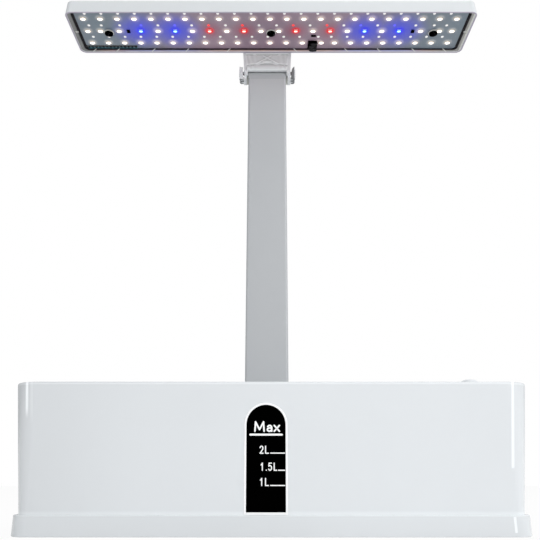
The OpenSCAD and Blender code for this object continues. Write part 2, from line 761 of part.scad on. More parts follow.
module lamp_housing() {
    top = lamp_z + lamp_h;
    inner_h = lamp_h - 1.8;
    side_h = lamp_h - lamp_bevel;
    in_low = lamp_draft * side_h;
    in_high = in_low + lamp_bevel;
    crown_r = 5.5;
    pad = 20;
    color("white") difference() {
        union() {
            difference() {
                translate([0, lamp_y, 0]) union() {
                    leaning_block(lamp_w, lamp_d, lamp_r, lamp_z, side_h, -lamp_draft);
                    leaning_block(lamp_w - 2 * in_low, lamp_d - 2 * in_low, lamp_r - in_low,
                                  top - lamp_bevel - eps, lamp_bevel, -1);
                    leaning_block(lamp_w - 2 * in_high, lamp_d - 2 * in_high, crown_r,
                                  top - 2 * eps, crown_h, -3.5);
                }
                translate([0, lamp_y, 0])
                    leaning_block(lamp_w - 2 * lamp_wall, lamp_d - 2 * lamp_wall,
                                  lamp_r - lamp_wall, lamp_z - eps, inner_h, -lamp_draft);
            }
            // bosses for the board's screws
            for (x = [-1 : 1]) translate([x * lamp_screw_x, lamp_screw_y, pcb_z + pcb_t])
                cylinder(top - pcb_z - pcb_t - 1, r = 4);
            // flat pad for the tilt bracket
            translate([mast_x - pad, lamp_rear - lamp_wall - 1, lamp_z + 5.4])
                cube([2 * pad, lamp_wall + 1.1, lamp_h - 6.4]);
            // ribs that hold the board off the walls
            for (x = board_rib_x, y = [-1, 1])
                translate([x - 0.5, lamp_y + y * (lamp_d / 2 - lamp_wall - 0.45) - 0.6, cover_z + 1.3])
                    cube([1, 1.2, pcb_z - cover_z - 1.4]);
            for (x = [-1, 1])
                translate([x * (lamp_w / 2 - lamp_wall - 0.45) - 0.6, lamp_y, cover_z + 1.3])
                    cube([1.2, 1, pcb_z - cover_z - 1.4]);
        }
        for (x = [-1 : 1]) translate([x * lamp_screw_x, lamp_screw_y, pcb_z])
            cylinder(6, r = 1.5);
        for (x = [-1, 1]) translate([mast_x + x * 14, lamp_rear - 6, bracket_screw_z])
            rotate([-90, 0, 0]) cylinder(9, r = 1.7);
        translate([mast_x, lamp_rear - 6, bracket_screw_z])
            rotate([-90, 0, 0]) cylinder(9, r = lead_r + 0.3);
    }
}

board_rib_x = [-183, -159, -122, -87, -44, 25, 78, 112, 148, 180];
bracket_screw_z = lamp_z + 8.1;

module led_board() {
    color("silver") difference() {
        translate([0, lamp_y, 0]) block(pcb_w, pcb_d, 5, pcb_z, pcb_t);
        for (x = [-1 : 1]) translate([x * lamp_screw_x, lamp_screw_y, pcb_z - 1])
            cylinder(4, r = 1.7);
        // notch that the lead comes down through
        translate([connector_x - 3.5, lamp_rear - 8, pcb_z - 1]) cube([7, 10, 4]);
    }
}

// One diode: a square package with a round window
module led(x, y) {
    translate([led_x0 + x, lamp_y + y, led_face_z]) {
        cylinder(0.3, r = 2.2);
        translate([-2.5, -2.5, 0.2]) cube([5, 5, led_t - 0.2]);
    }
}

colour_x = [for (k = [0 : 3]) colour_first + k * colour_pitch];
between_x = [8.9, for (k = [0 : 2]) colour_first + (k + 0.5) * colour_pitch, 150.3, 169, 181.6];

module white_leds() {
    color("white") {
        for (y = [-1, 1], i = [0 : row_count - 1])
            led((i - (row_count - 1) / 2) * led_pitch + (y > 0 && i == plug_led ? 3 : 0),
                y * row_pitch);
        for (s = [-1, 1], x = between_x) led(s * x, 0);
    }
}

module red_leds() {
    color("red") for (s = [-1, 1], k = [0, 1]) led(s * colour_x[k], 0);
}

module blue_leds() {
    color("blue") for (s = [-1, 1], k = [2, 3]) led(s * colour_x[k], 0);
}

// Chip resistors and a regulator on the face of the lamp's board
module board_parts() {
    color("black") {
        for (i = [0 : 13]) translate([-189 + 3.7 * i, 18.9, pcb_z - 0.6]) cube([1.9, 1.2, 0.6]);
        for (x = [-142.4, 141.4]) translate([x - 1.6, -7.4, pcb_z - 0.9]) cube([3.2, 4.2, 0.9]);
        translate([connector_x - 1.6, 0.6, pcb_z - 0.9]) cube([5, 2.2, 0.9]);
    }
}

// Screws whose broad heads stand on a neck, so that they clear the diodes beside them
lamp_screw_low = 2.1;
module lamp_screws() {
    color("black") for (x = [-1 : 1])
        translate([x * lamp_screw_x, lamp_screw_y, pcb_z]) {
            translate([0, 0, -lamp_screw_low]) screw(4.2, 0.9, 1.5, lamp_screw_low + 4.6);
            translate([0, 0, -lamp_screw_low]) cylinder(lamp_screw_low, r = 2.6);
        }
}

module lamp_cover() {
    color([0.9, 0.95, 1, 0.25]) translate([0, lamp_y, 0])
        block(lamp_w - 2 * lamp_wall - 0.6, lamp_d - 2 * lamp_wall - 0.6, lamp_r - lamp_wall - 0.3,
              cover_z, cover_t);
}

module lead_plug() {
    color("black") translate([connector_x, 0, 0])
        translate([-4.2, lamp_y + 15.5, pcb_z - 2.1]) cube([9.4, 9.1, 2.1]);
}

// The lead from the tilt axis through the bracket and over the board to its plug
lamp_lead_points = [[mast_x, mast_y, pivot_z + 2.4], [mast_x, mast_y, pivot_z + 12],
                    [mast_x, mast_y, pivot_z + 26], [mast_x, mast_y - 2, bracket_screw_z - 3],
                    [mast_x, mast_y - 5, bracket_screw_z], [mast_x, lamp_rear, bracket_screw_z],
                    [mast_x, lamp_rear - 6, bracket_screw_z],
                    [mast_x + 5, lamp_rear - 11, bracket_screw_z],
                    [connector_x - 12, lamp_rear - 11, bracket_screw_z],
                    [connector_x - 3, lamp_rear - 8, bracket_screw_z],
                    [connector_x, lamp_rear - 4.6, bracket_screw_z - 0.6],
                    [connector_x, lamp_rear - 4.6, pcb_z],
                    [connector_x, lamp_rear - 4.9, pcb_z - 1.1],
                    [connector_x, lamp_rear - 6.6, pcb_z - 1.1]];
module lamp_lead() {
    color("black") lead(soften(lamp_lead_points), lead_r - 0.3);
}

// ---- tilt bracket ----

// Outline of the yoke's front, in X and Z: slightly wider at the top
module yoke_front_outline(low, high, narrow, wide) {
    polygon([[-narrow, low], [narrow, low], [narrow, lip_z + 4], [wide, lamp_z],
             [wide, high], [-wide, high], [-wide, lamp_z], [-narrow, lip_z + 4]]);
}

module lamp_bracket() {
    top = lamp_z + lamp_h - 1;
    depth = yoke_rear - yoke_front;
    color("gainsboro") translate([mast_x, 0, 0]) difference() {
        union() {
            // shell: front, sides, back and top around an open middle
            difference() {
                translate([0, yoke_rear, 0]) rotate([90, 0, 0]) linear_extrude(depth)
                    yoke_front_outline(lip_z, top, cheek_out, yoke_top_half);
                translate([0, yoke_rear - yoke_plate, 0]) rotate([90, 0, 0])
                    linear_extrude(depth - 2 * yoke_plate)
                    yoke_front_outline(lip_z - 1, top - 2, cheek_in, yoke_top_half - cheek_t);
                translate([-cheek_in, yoke_rear - 9, lip_z - 1]) cube([2 * cheek_in, 10, 8]);
            }
            // cheeks, round about the pins, with a foot for the levers' lugs
            for (s = [-1, 1]) translate([s * (cheek_in + cheek_t / 2), mast_y, 0]) {
                translate([-cheek_t / 2, 0, pivot_z]) rotate([0, 90, 0]) cylinder(cheek_t, r = cheek_r);
                rotate([90, 0, 90]) linear_extrude(cheek_t, center = true)
                    polygon([[lever_y - mast_y - 4.4, lever_low], [lever_y - mast_y + 4.4, lever_low],
                             [cheek_r - 0.5, pivot_z], [9, lip_z + 1], [9, lip_z + 5],
                             [-9, lip_z + 5], [-9, lip_z + 1], [-7.4, lip_z - 1.6]]);
            }
            // rolled lip under the front plate
            translate([-cheek_in - 1, yoke_front + 1, lip_z + 1.6]) rotate([0, 90, 0])
                cylinder(2 * cheek_in + 2, r = 1.6);
            // crossed stiffening ribs on the front plate
            for (a = [-1, 1]) translate([0, yoke_front, lamp_z - 9]) rotate([0, a * 62, 0])
                translate([-0.7, -0.5, -17]) cube([1.4, 1, 34]);
            // posts for the lamp's screws
            for (x = [-1, 1]) translate([x * 14, yoke_front, bracket_screw_z])
                rotate([-90, 0, 0]) cylinder(8, r = 3);
            // lugs for the levers' pins
            for (s = [-1, 1], y = [-1, 1]) translate([0, lever_y + y * lug_y - lug_t / 2, lever_pin_z]) {
                translate([s * lever_pin_x, 0, 0]) rotate([-90, 0, 0]) cylinder(lug_t, r = lug_r);
                translate([s > 0 ? cheek_out - 0.3 : -lever_pin_x, 0, -lug_r])
                    cube([lever_pin_x - cheek_out + 0.3, lug_t, 2 * lug_r]);
            }
        }
        // tilt pins' holes, stopped short of the levers' pins
        translate([-cheek_out - 0.2, mast_y, pivot_z]) rotate([0, 90, 0])
            cylinder(2 * cheek_out + 0.4, r = pin_r);
        for (x = [-1, 1]) translate([x * 14, yoke_front - 1, bracket_screw_z])
            rotate([-90, 0, 0]) cylinder(8, r = 1.5);
        translate([0, yoke_front - 1, bracket_screw_z]) rotate([-90, 0, 0])
            cylinder(4, r = lead_r + 0.3);
        for (s = [-1, 1]) {
            translate([s * lever_pin_x, lever_y - 3.5, lever_pin_z]) rotate([-90, 0, 0])
                cylinder(7, r = lever_pin_r);
            // window for the lever's tooth
            translate([s * (cheek_in + cheek_t / 2) - 3, lever_y - 2.2, pivot_z + 3.4])
                cube([6, 4.4, 4.6]);
        }
        translate([-19.2, yoke_front - 2, lamp_z - 1.7]) rotate([-90, 0, 0]) cylinder(9, r = 0.9);
        // the pieces of the two crossed ribs that would stand above the plate
        translate([-30, yoke_front - 3, lamp_z - 0.5]) cube([60, 3, 30]);
    }
}

module bracket_screws() {
    color("silver") for (x = [-1, 1])
        translate([mast_x + x * 14, lamp_rear - lamp_wall - 2.4, bracket_screw_z])
            rotate([-90, 0, 0]) screw(2.2, 1.4, 1.5, 8);
}

// Stub pins, one in each cheek, so that the lead has room between them
module tilt_pins() {
    pin_l = cheek_out - 8;
    color("silver") for (s = [-1, 1])
        translate([mast_x + s * (cheek_out - pin_l / 2), mast_y, pivot_z])
            rotate([0, 90, 0]) cylinder(pin_l, r = pin_r, center = true);
}

module tilt_washers() {
    t = cheek_in - mast_w / 2 - 0.35;
    color("whitesmoke") for (s = [-1, 1])
        translate([mast_x + s * (cheek_in - t / 2), mast_y, pivot_z]) rotate([0, 90, 0])
            difference() {
                cylinder(t, r = 4.8, center = true);
                cylinder(t + 1, r = pin_r, center = true);
            }
}

// Squeeze lever, drawn for the right side: a ribbed plate that turns on a pin at its lower end
module lever() {
    barrel = 2.4;
    out = lever_in + lever_t;
    difference() {
        union() {
            // plate, with a cut lower corner and a slanted top
            translate([0, lever_y + lever_w / 2, 0]) rotate([90, 0, 0]) linear_extrude(lever_w)
                polygon([[lever_in, lever_low], [out - 1.2, lever_low], [out, lever_low + 1.2],
                         [out, lever_top + 1], [out - 0.8, lever_top + 1], [lever_in, lever_top - 1]]);
            // flanges that stiffen the plate, slanted so that they clear the cheek when squeezed
            for (y = [0.9 - lever_w / 2, lever_w / 2]) translate([0, lever_y + y, 0])
                rotate([90, 0, 0]) linear_extrude(0.9)
                    polygon([[cheek_out + 0.4, lever_low], [lever_in + 1, lever_low],
                             [lever_in + 1, lever_top - 1], [lever_in - 0.5, lever_top - 2]]);
            translate([lever_pin_x, lever_y - barrel / 2, lever_pin_z]) rotate([-90, 0, 0])
                cylinder(barrel, r = lug_r);
            translate([lever_pin_x, lever_y - barrel / 2, lever_pin_z - lug_r])
                cube([lever_in + 1 - lever_pin_x, barrel, 2 * lug_r]);
            // finger ribs and the tooth that reaches through the cheek
            for (z = [pivot_z + 0.5 : 2.4 : lever_top - 1])
                translate([out - 0.4, lever_y - 3.5, z]) cube([0.9, 7, 0.9]);
            translate([lever_in - 3.6, lever_y - 1.6, pivot_z + 4.6]) cube([3.8, 3.2, 2.2]);
        }
        translate([lever_pin_x, lever_y - 3.6, lever_pin_z]) rotate([-90, 0, 0])
            cylinder(7.2, r = lever_pin_r + fit);
        // room for the bracket's lugs
        for (y = [-1, 1]) translate([cheek_out, lever_y + y * lug_y - lug_t / 2 - 0.35, lever_low - 1])
            cube([lever_pin_x + lug_r + 0.3 - cheek_out, lug_t + 0.7, lug_r + 3.2]);
    }
}

module lever_left() { color("lightgray") translate([mast_x, 0, 0]) mirror([1, 0, 0]) lever(); }
module lever_right() { color("lightgray") translate([mast_x, 0, 0]) lever(); }

module lever_pins() {
    color("silver") for (s = [-1, 1])
        translate([mast_x + s * lever_pin_x, lever_y - 3.5, lever_pin_z]) rotate([-90, 0, 0])
            cylinder(7, r = lever_pin_r);
}

base_tray();
rubber_feet();
tray_screws();
water_tank();
level_window();
window_frame();
window_gasket();
scale_marks();
planting_deck();
control_cover();
control_board();
button_switch();
power_jack();
cover_screws();
button_cap();
fill_lid();
fill_lid_pin();
pump_body();
pump_strainer();
pump_stem();
inner_leads();
impeller();
impeller_shaft();
mast_socket();
socket_screws();
mast_seal();
socket_lead();
lead_coil();
basket_1();
basket_2();
basket_3();
basket_4();
basket_5();
basket_6();
basket_7();
basket_8();
basket_9();
basket_10();
mast_tube();
mast_head();
mast_foot();
mast_lead();
lamp_housing();
led_board();
white_leds();
red_leds();
blue_leds();
board_parts();
lamp_screws();
lamp_cover();
lead_plug();
lamp_lead();
lamp_bracket();
bracket_screws();
tilt_pins();
tilt_washers();
lever_left();
lever_right();
lever_pins();
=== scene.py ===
# %% [markdown]
# # A countertop hydroponic garden
# The garden is a white water tank on a tray, a planting deck with ten net baskets, a grey mast
# that slides in the deck, and a lamp that tilts at the mast's head. The solid model of every
# piece is already made, at real size. Here each piece gets its finish, and the pieces whose
# fine shape shows most are modelled again as smooth meshes that stand for their solids.

# %% Load the solid model
import math

import bmesh
import bpy
from mathutils import Matrix, Vector


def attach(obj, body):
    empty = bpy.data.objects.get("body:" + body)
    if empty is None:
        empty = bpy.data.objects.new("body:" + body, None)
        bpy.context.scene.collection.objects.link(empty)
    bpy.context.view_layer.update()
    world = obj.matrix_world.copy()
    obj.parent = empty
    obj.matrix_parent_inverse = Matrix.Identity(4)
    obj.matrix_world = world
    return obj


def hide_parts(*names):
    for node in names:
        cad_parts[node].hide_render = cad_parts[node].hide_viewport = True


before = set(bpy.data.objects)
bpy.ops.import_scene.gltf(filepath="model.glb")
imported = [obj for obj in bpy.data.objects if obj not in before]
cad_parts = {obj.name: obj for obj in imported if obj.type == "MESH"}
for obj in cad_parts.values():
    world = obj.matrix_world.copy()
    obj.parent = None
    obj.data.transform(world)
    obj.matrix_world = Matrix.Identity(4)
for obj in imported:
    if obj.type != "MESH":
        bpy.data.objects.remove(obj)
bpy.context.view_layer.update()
MM = 0.001

# %% [markdown]
# ## Camera
# The camera stands low in front of the tank and looks up at the lamp, so the picture shows the
# tank nearly head-on and the lamp from below. A pinhole camera with a plain lens is enough: no
# shift and no depth of field.

# %% Camera
# the picture's width and the lens's focal length, both in pixels
FRAME_WIDTH = 540
FOCAL_LENGTH = 650
# the sensor's width in millimetres, the tilt in degrees, and the camera's place in metres
SENSOR = 36
LOOK_UP = 17.9
EYE = (-0.0011, -0.550, 0.0386)

lens = bpy.data.cameras.new("camera")
lens.sensor_width = SENSOR
lens.lens = FOCAL_LENGTH / FRAME_WIDTH * SENSOR
camera = bpy.data.objects.new("camera", lens)
camera.location = EYE
camera.rotation_euler = (math.radians(90 + LOOK_UP), 0, 0)
bpy.context.scene.collection.objects.link(camera)
bpy.context.scene.camera = camera
print("lens:", round(lens.lens, 2), "mm")

# %% [markdown]
# ## A kit for node materials
# Every finish below is built from the same few steps: a texture coordinate, a noise, a ramp and a
# bump. A node tree could be drawn by hand, but short calls that make and wire one step each let a
# material read as a recipe, and the same steps then serve every finish.

# %% Node helpers
class Recipe:
    """A new material with its Principled shader, and short calls that add nodes to it."""

    def __init__(self, name, **sockets):
        self.material = bpy.data.materials.new(name)
        self.material.use_nodes = True
        self.nodes = self.material.node_tree.nodes
        self.links = self.material.node_tree.links
        self.shader = self.nodes["Principled BSDF"]
        for socket, value in sockets.items():
            self.shader.inputs[socket.replace("_", " ")].default_value = value
        coordinates = self.nodes.new("ShaderNodeTexCoord")
        self.place = coordinates.outputs["Object"]
        self.facing = coordinates.outputs["Normal"]

    def feed(self, source, socket):
        """Leads a value to a socket of the Principled shader."""
        self.links.new(source, self.shader.inputs[socket])

    def axes(self, vector=None):
        """The X, Y and Z of a vector, or else of a point on the piece."""
        node = self.nodes.new("ShaderNodeSeparateXYZ")
        self.links.new(self.place if vector is None else vector, node.inputs[0])
        return node.outputs[0], node.outputs[1], node.outputs[2]

    def noise(self, scale, detail=2.0, stretch=None):
        """Smooth noise from 0 to 1, with so many waves to the metre; stretch draws it out."""
        node = self.nodes.new("ShaderNodeTexNoise")
        node.inputs["Scale"].default_value = scale
        node.inputs["Detail"].default_value = detail
        source = self.place
        if stretch:
            scaled = self.nodes.new("ShaderNodeVectorMath")
            scaled.operation = "MULTIPLY"
            scaled.inputs[1].default_value = stretch
            self.links.new(self.place, scaled.inputs[0])
            source = scaled.outputs[0]
        self.links.new(source, node.inputs["Vector"])
        return node.outputs["Fac"]

    def math(self, operation, value, *others):
        """One maths node, or a chain of them when there are more than two values."""
        for other in others or (0.0,):
            node = self.nodes.new("ShaderNodeMath")
            node.operation = operation
            self._set(node.inputs[0], value)
            self._set(node.inputs[1], other)
            value = node.outputs[0]
        return value

    def times(self, *values):
        """The product of all the values."""
        return self.math("MULTIPLY", *values)

    def plus(self, *values):
        """The sum of all the values."""
        return self.math("ADD", *values)

    def minus(self, value, other):
        """The first value less the second."""
        return self.math("SUBTRACT", value, other)

    def length(self, across, along):
        """The length of a step that goes so far across and so far along."""
        return self.math("SQRT", self.plus(self.times(across, across), self.times(along, along)))

    def ramp(self, factor, low, high, out_low=0.0, out_high=1.0):
        """A smooth passage from one value to another while the factor goes from low to high."""
        node = self.nodes.new("ShaderNodeMapRange")
        node.interpolation_type = "SMOOTHSTEP"
        for socket, value in zip(node.inputs, (factor, low, high, out_low, out_high)):
            self._set(socket, value)
        return node.outputs[0]

    def mix(self, factor, a, b):
        """Colour a where the factor is 0, and colour b where it is 1."""
        node = self.nodes.new("ShaderNodeMix")
        node.data_type = "RGBA"
        self._set(node.inputs["Factor"], factor)
        self._set(node.inputs[6], a)
        self._set(node.inputs[7], b)
        return node.outputs[2]

    def bump(self, height, strength, distance):
        """Makes the surface look raised where the height is large."""
        node = self.nodes.new("ShaderNodeBump")
        node.inputs["Strength"].default_value = strength
        node.inputs["Distance"].default_value = distance
        self.links.new(height, node.inputs["Height"])
        self.feed(node.outputs["Normal"], "Normal")

    def _set(self, socket, value):
        if isinstance(value, bpy.types.NodeSocket):
            self.links.new(value, socket)
        elif value is not None:
            socket.default_value = (*value, 1.0) if socket.type == "RGBA" else value


def linear(red, green, blue):
    """A colour written as 0 to 255 display values, in the linear values that shaders take."""
    def channel(value):
        value /= 255
        return value / 12.92 if value <= 0.04045 else ((value + 0.055) / 1.055) ** 2.4
    return channel(red), channel(green), channel(blue)


print("node helpers ready")

# %% [markdown]
# ## Moulded plastic
# Most of the garden is injection-moulded plastic. Real mouldings are never one flat colour: the
# tone drifts a little, the gloss drifts with it, and the surface has a fine orange-peel ripple
# that softens reflections. Three noises at three scales give those three things.

# %% Plastic finishes
plastics = {}


def moulded(name, colour, roughness, tone=0.015, gloss=0.05, ripple=0.04, coat=0.0, grain=700):
    """Moulded plastic: drifting tone and gloss, and a fine ripple over the surface."""
    recipe = Recipe(name, Coat_Weight=coat, Coat_Roughness=0.06)
    darker = [c * (1 - tone) for c in colour]
    lighter = [min(1.0, c * (1 + tone)) for c in colour]
    colour_out = recipe.mix(recipe.noise(14, 3), darker, lighter)
    recipe.feed(colour_out, "Base Color")
    plastics[name] = recipe, colour_out
    wear_and_shade = recipe.ramp(recipe.noise(55, 4), 0.3, 0.7, roughness - gloss, roughness + gloss)
    recipe.feed(wear_and_shade, "Roughness")
    recipe.bump(recipe.noise(grain, 3), ripple, 0.0002)
    return recipe.material


tank_white = moulded("tank_white", linear(232, 235, 237), 0.24, tone=0.006, gloss=0.012,
                     coat=0.35, ripple=0.015)
tray_white = moulded("tray_white", linear(229, 232, 234), 0.26, tone=0.006, gloss=0.012,
                     coat=0.3, ripple=0.015)
deck_white = moulded("deck_white", linear(228, 231, 234), 0.30, ripple=0.03)
lamp_white = moulded("lamp_white", linear(231, 234, 236), 0.3, tone=0.002, gloss=0.006,
                     coat=0.2, ripple=0.01)
frame_white = moulded("frame_white", linear(254, 254, 254), 0.35, tone=0.002)
panel_grey = moulded("panel_grey", linear(214, 217, 219), 0.42, ripple=0.12, grain=1500)
button_grey = moulded("button_grey", linear(226, 229, 231), 0.28)
bracket_grey = moulded("bracket_grey", linear(226, 228, 230), 0.36, ripple=0.06)
head_grey = moulded("head_grey", linear(178, 181, 183), 0.42, ripple=0.08)
basket_white = moulded("basket_white", linear(224, 226, 224), 0.45, ripple=0.10)
pump_white = moulded("pump_white", linear(205, 205, 198), 0.45, ripple=0.08)
black_plastic = moulded("black_plastic", linear(28, 28, 30), 0.45, tone=0.12, ripple=0.12)
print("plastics:", len(plastics))

# %% [markdown]
# ## Light along a long moulding
# The garden is lit from the right, so its long white mouldings are a little darker at their left
# ends, and on the sides that are turned away. Lamps alone could give this, but they would change
# every other piece too. Here that light and shade is painted into the finish: its colour is scaled
# by the place of a point along the piece and by the way the surface faces, so it stays with the
# piece when a joint moves.

# %% Light by place
TURNED_AWAY = 0.86
COOL_LIGHT = (0.97, 0.99, 1.0, 1.0)


def shaded(name, *steps):
    """Paints light and shade into a finish's colour along X and on faces turned sideways. A step
    is (from, to, factor before, factor after).
    """
    recipe, colour = plastics[name]
    across, _, _ = recipe.axes()
    sideways, _, _ = recipe.axes(recipe.facing)
    stages = [recipe.ramp(across, low * MM, high * MM, before, after)
              for low, high, before, after in steps]
    stages.append(recipe.ramp(sideways, 0.75, 0.98, 1.0, TURNED_AWAY))
    scaled = recipe.nodes.new("ShaderNodeVectorMath")
    scaled.operation = "SCALE"
    recipe.links.new(colour, scaled.inputs[0])
    recipe.links.new(recipe.times(*stages), scaled.inputs["Scale"])
    recipe.feed(scaled.outputs[0], "Base Color")
    plastics[name] = recipe, scaled.outputs[0]


def lit_band(recipe, value, low, low_full, high_full, high, strength):
    """Light of that strength between the two middle values, fading out towards the outer two."""
    rise = recipe.ramp(value, low * MM, low_full * MM, 0.0, strength)
    return recipe.times(rise, recipe.ramp(value, high_full * MM, high * MM, 1.0, 0.0))


def add_painted_light(recipe, *parts):
    """Adds the parts up and feeds them to the finish as white emission: painted light, since the
    piece is no lamp.
    """
    recipe.shader.inputs["Emission Color"].default_value = COOL_LIGHT
    recipe.feed(recipe.plus(*parts), "Emission Strength")


# painted shade towards the ends and on the sides of the tank, tray and lamp, and painted light in
# the middle of the tank and the tray
shaded("tank_white", (-185, -80, 0.92, 1.0), (-191, -176, 0.93, 1.0), (-80, 40, 1.0, 1.03),
      (100, 190, 1.0, 0.985), (176, 192, 1.0, 0.92))
shaded("tray_white", (-185, -60, 0.945, 0.97), (-60, 60, 1.0, 1.04), (100, 190, 1.0, 0.985))
shaded("lamp_white", (-190, 190, 0.905, 0.95))
print("toned the tank, the tray and the lamp")

# %% [markdown]
# ## Metal, rubber, print and board finishes
# The mast is anodised aluminium: satin, with a very faint streak along its length from the
# extrusion die. Screws and pins are zinc plated. Rubber is dark, matt and a little dusty.

# %% Other finishes
def anodised(name, colour):
    """Satin anodised aluminium with faint die lines along Z."""
    recipe = Recipe(name, Metallic=0.25, Specular_IOR_Level=0.4)
    streaks = recipe.noise(260, 3, stretch=(1.0, 1.0, 0.01))
    recipe.feed(recipe.mix(streaks, [c * 0.985 for c in colour], colour), "Base Color")
    recipe.feed(recipe.ramp(streaks, 0.3, 0.7, 0.44, 0.52), "Roughness")
    recipe.bump(recipe.noise(2200, 2), 0.05, 0.0001)
    return recipe.material


def plated(name, colour, roughness):
    """Plated steel with small stains in its shine."""
    recipe = Recipe(name, Metallic=1.0)
    stains = recipe.noise(420, 5)
    recipe.feed(recipe.mix(stains, [c * 0.82 for c in colour], colour), "Base Color")
    recipe.feed(recipe.ramp(stains, 0.35, 0.65, roughness, roughness + 0.14), "Roughness")
    recipe.bump(stains, 0.06, 0.0001)
    return recipe.material


def rubber(name, colour, roughness=0.75):
    """Matt rubber with a dusty grain."""
    recipe = Recipe(name, Specular_IOR_Level=0.3)
    dust = recipe.noise(900, 5)
    recipe.feed(recipe.mix(dust, colour, [c * 1.6 + 0.004 for c in colour]), "Base Color")
    recipe.feed(recipe.ramp(dust, 0.3, 0.7, roughness - 0.1, roughness + 0.1), "Roughness")
    recipe.bump(dust, 0.2, 0.0002)
    return recipe.material


def print_ink(name, colour, roughness=0.5):
    """Screen-printed ink: slightly uneven in tone."""
    recipe = Recipe(name, Specular_IOR_Level=0.25)
    uneven = recipe.noise(1500, 3)
    recipe.feed(recipe.mix(uneven, [c * 0.94 for c in colour], colour), "Base Color")
    recipe.feed(recipe.ramp(uneven, 0.3, 0.7, roughness - 0.08, roughness + 0.08), "Roughness")
    recipe.bump(uneven, 0.05, 0.00005)
    return recipe.material


def circuit_board(name, colour, trace):
    """Lacquered board: copper traces show as slightly lighter lines in a square grid."""
    recipe = Recipe(name, Coat_Weight=0.5, Coat_Roughness=0.12)
    grid = recipe.nodes.new("ShaderNodeTexBrick")
    grid.inputs["Scale"].default_value = 260
    grid.inputs["Mortar Size"].default_value = 0.05
    grid.inputs["Color1"].default_value = (0, 0, 0, 1)
    grid.inputs["Color2"].default_value = (0.15, 0.15, 0.15, 1)
    grid.inputs["Mortar"].default_value = (1, 1, 1, 1)
    recipe.links.new(recipe.place, grid.inputs["Vector"])
    recipe.feed(recipe.mix(grid.outputs["Color"], colour, trace), "Base Color")
    recipe.feed(recipe.ramp(recipe.noise(300), 0.3, 0.7, 0.3, 0.42), "Roughness")
    recipe.bump(grid.outputs["Fac"], 0.1, 0.0001)
    return recipe.material


mast_satin = anodised("mast_satin", linear(194, 196, 198))
screw_zinc = plated("screw_zinc", linear(196, 198, 202), 0.24)
screw_black = print_ink("screw_black", (0.0008, 0.0006, 0.0012), 0.6)
seal_rubber = rubber("seal_rubber", linear(38, 38, 40))
lead_black = rubber("lead_black", linear(24, 24, 26), 0.6)
mark_white = print_ink("mark_white", linear(253, 253, 252))
window_black = print_ink("window_black", (0.0004, 0.0004, 0.0004), 0.6)
board_green = circuit_board("board_green", linear(22, 88, 48), linear(60, 132, 82))
# a faint painted glow makes the marks, the window's frame and the button look whiter than their
# light alone
PAINTED_GLOW = {"Emission Color": (1, 1, 1, 1), "Emission Strength": 0.10}
MATT = {"Specular IOR Level": 0.0}
for material, changes in ((mark_white, PAINTED_GLOW), (frame_white, PAINTED_GLOW),
                          (button_grey, PAINTED_GLOW), (window_black, MATT), (screw_black, MATT)):
    for socket, value in changes.items():
        material.node_tree.nodes["Principled BSDF"].inputs[socket].default_value = value
print("finishes:", len(bpy.data.materials))

# %% [markdown]
# ## Dressing the solids
# Most solids already have the right shape. They come in as triangles whose corners aren't
# joined, so a weld comes first, then a small bevel that catches the light along every edge as a
# moulded or filed edge does, and weighted normals that keep the flats looking flat.

# %% Dress the solids
def dress(finish, edge, *node_names):
    """Gives solids a finish, and a bevel of that many millimetres on their sharp edges."""
    for name in node_names:
        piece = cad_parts[name]
        piece.data.materials.clear()
        piece.data.materials.append(finish)
        weld = piece.modifiers.new("weld", "WELD")
        weld.merge_threshold = 0.002 * MM
        if edge:
            bevel = piece.modifiers.new("soft edges", "BEVEL")
            bevel.width = edge * MM
            bevel.segments = 2
            bevel.limit_method = "ANGLE"
            bevel.angle_limit = math.radians(40)
        smooth = piece.modifiers.new("flat flats", "WEIGHTED_NORMAL")
        smooth.keep_sharp = True
        smooth.weight = 60


BASKETS = [f"basket_{k}" for k in range(1, 11)]
dress(deck_white, 0.25, "planting_deck", "fill_lid", "mast_socket")
dress(panel_grey, 0.3, "control_cover")
dress(basket_white, 0.25, *BASKETS)
dress(frame_white, 0.15, "window_frame")
dress(window_black, 0, "level_window")
dress(seal_rubber, 0.1, "rubber_feet", "window_gasket", "mast_seal")
dress(screw_zinc, 0.12, "tray_screws", "cover_screws", "socket_screws", "bracket_screws")
dress(screw_zinc, 0, "fill_lid_pin", "impeller_shaft", "tilt_pins", "lever_pins")
dress(board_green, 0, "control_board")
dress(black_plastic, 0.15, "button_switch", "power_jack", "pump_body", "pump_strainer")
dress(black_plastic, 0.15, "mast_foot")
dress(screw_black, 0.15, "board_parts", "lead_plug")
dress(pump_white, 0.12, "pump_stem", "impeller", "tilt_washers")
dress(head_grey, 0.4, "mast_head")
dress(mast_satin, 0, "mast_tube")
dress(bracket_grey, 0.3, "lamp_bracket")
dress(lead_black, 0, "inner_leads", "socket_lead", "lead_coil", "mast_lead", "lamp_lead")
dress(screw_black, 0.2, "lamp_screws")
print("dressed solids with a bevel or a finish")

# %% [markdown]
# ## Lofted shells
# The tank, its tray and the lamp's housing are all the same kind of form: a rectangle with round
# corners that changes size as it rises. A loft says that directly. Each ring is one cross-section,
# and following the rings up the outside, over the rim and down the inside makes a shell with a
# real wall, so the rim can have its own soft rounding.

# %% Loft helper
CORNER_STEPS = 14


def ring(mesh, half_x, half_y, radius, z, y=0.0):
    """Adds one ring of corners round a rectangle with round corners, in millimetres."""
    corners = []
    for turn, (side_x, side_y) in enumerate(((1, 1), (-1, 1), (-1, -1), (1, -1))):
        for step in range(CORNER_STEPS + 1):
            angle = math.radians(90 * (turn + step / CORNER_STEPS))
            corners.append(mesh.verts.new((
                (side_x * (half_x - radius) + radius * math.cos(angle)) * MM,
                (y + side_y * (half_y - radius) + radius * math.sin(angle)) * MM,
                z * MM)))
    return corners


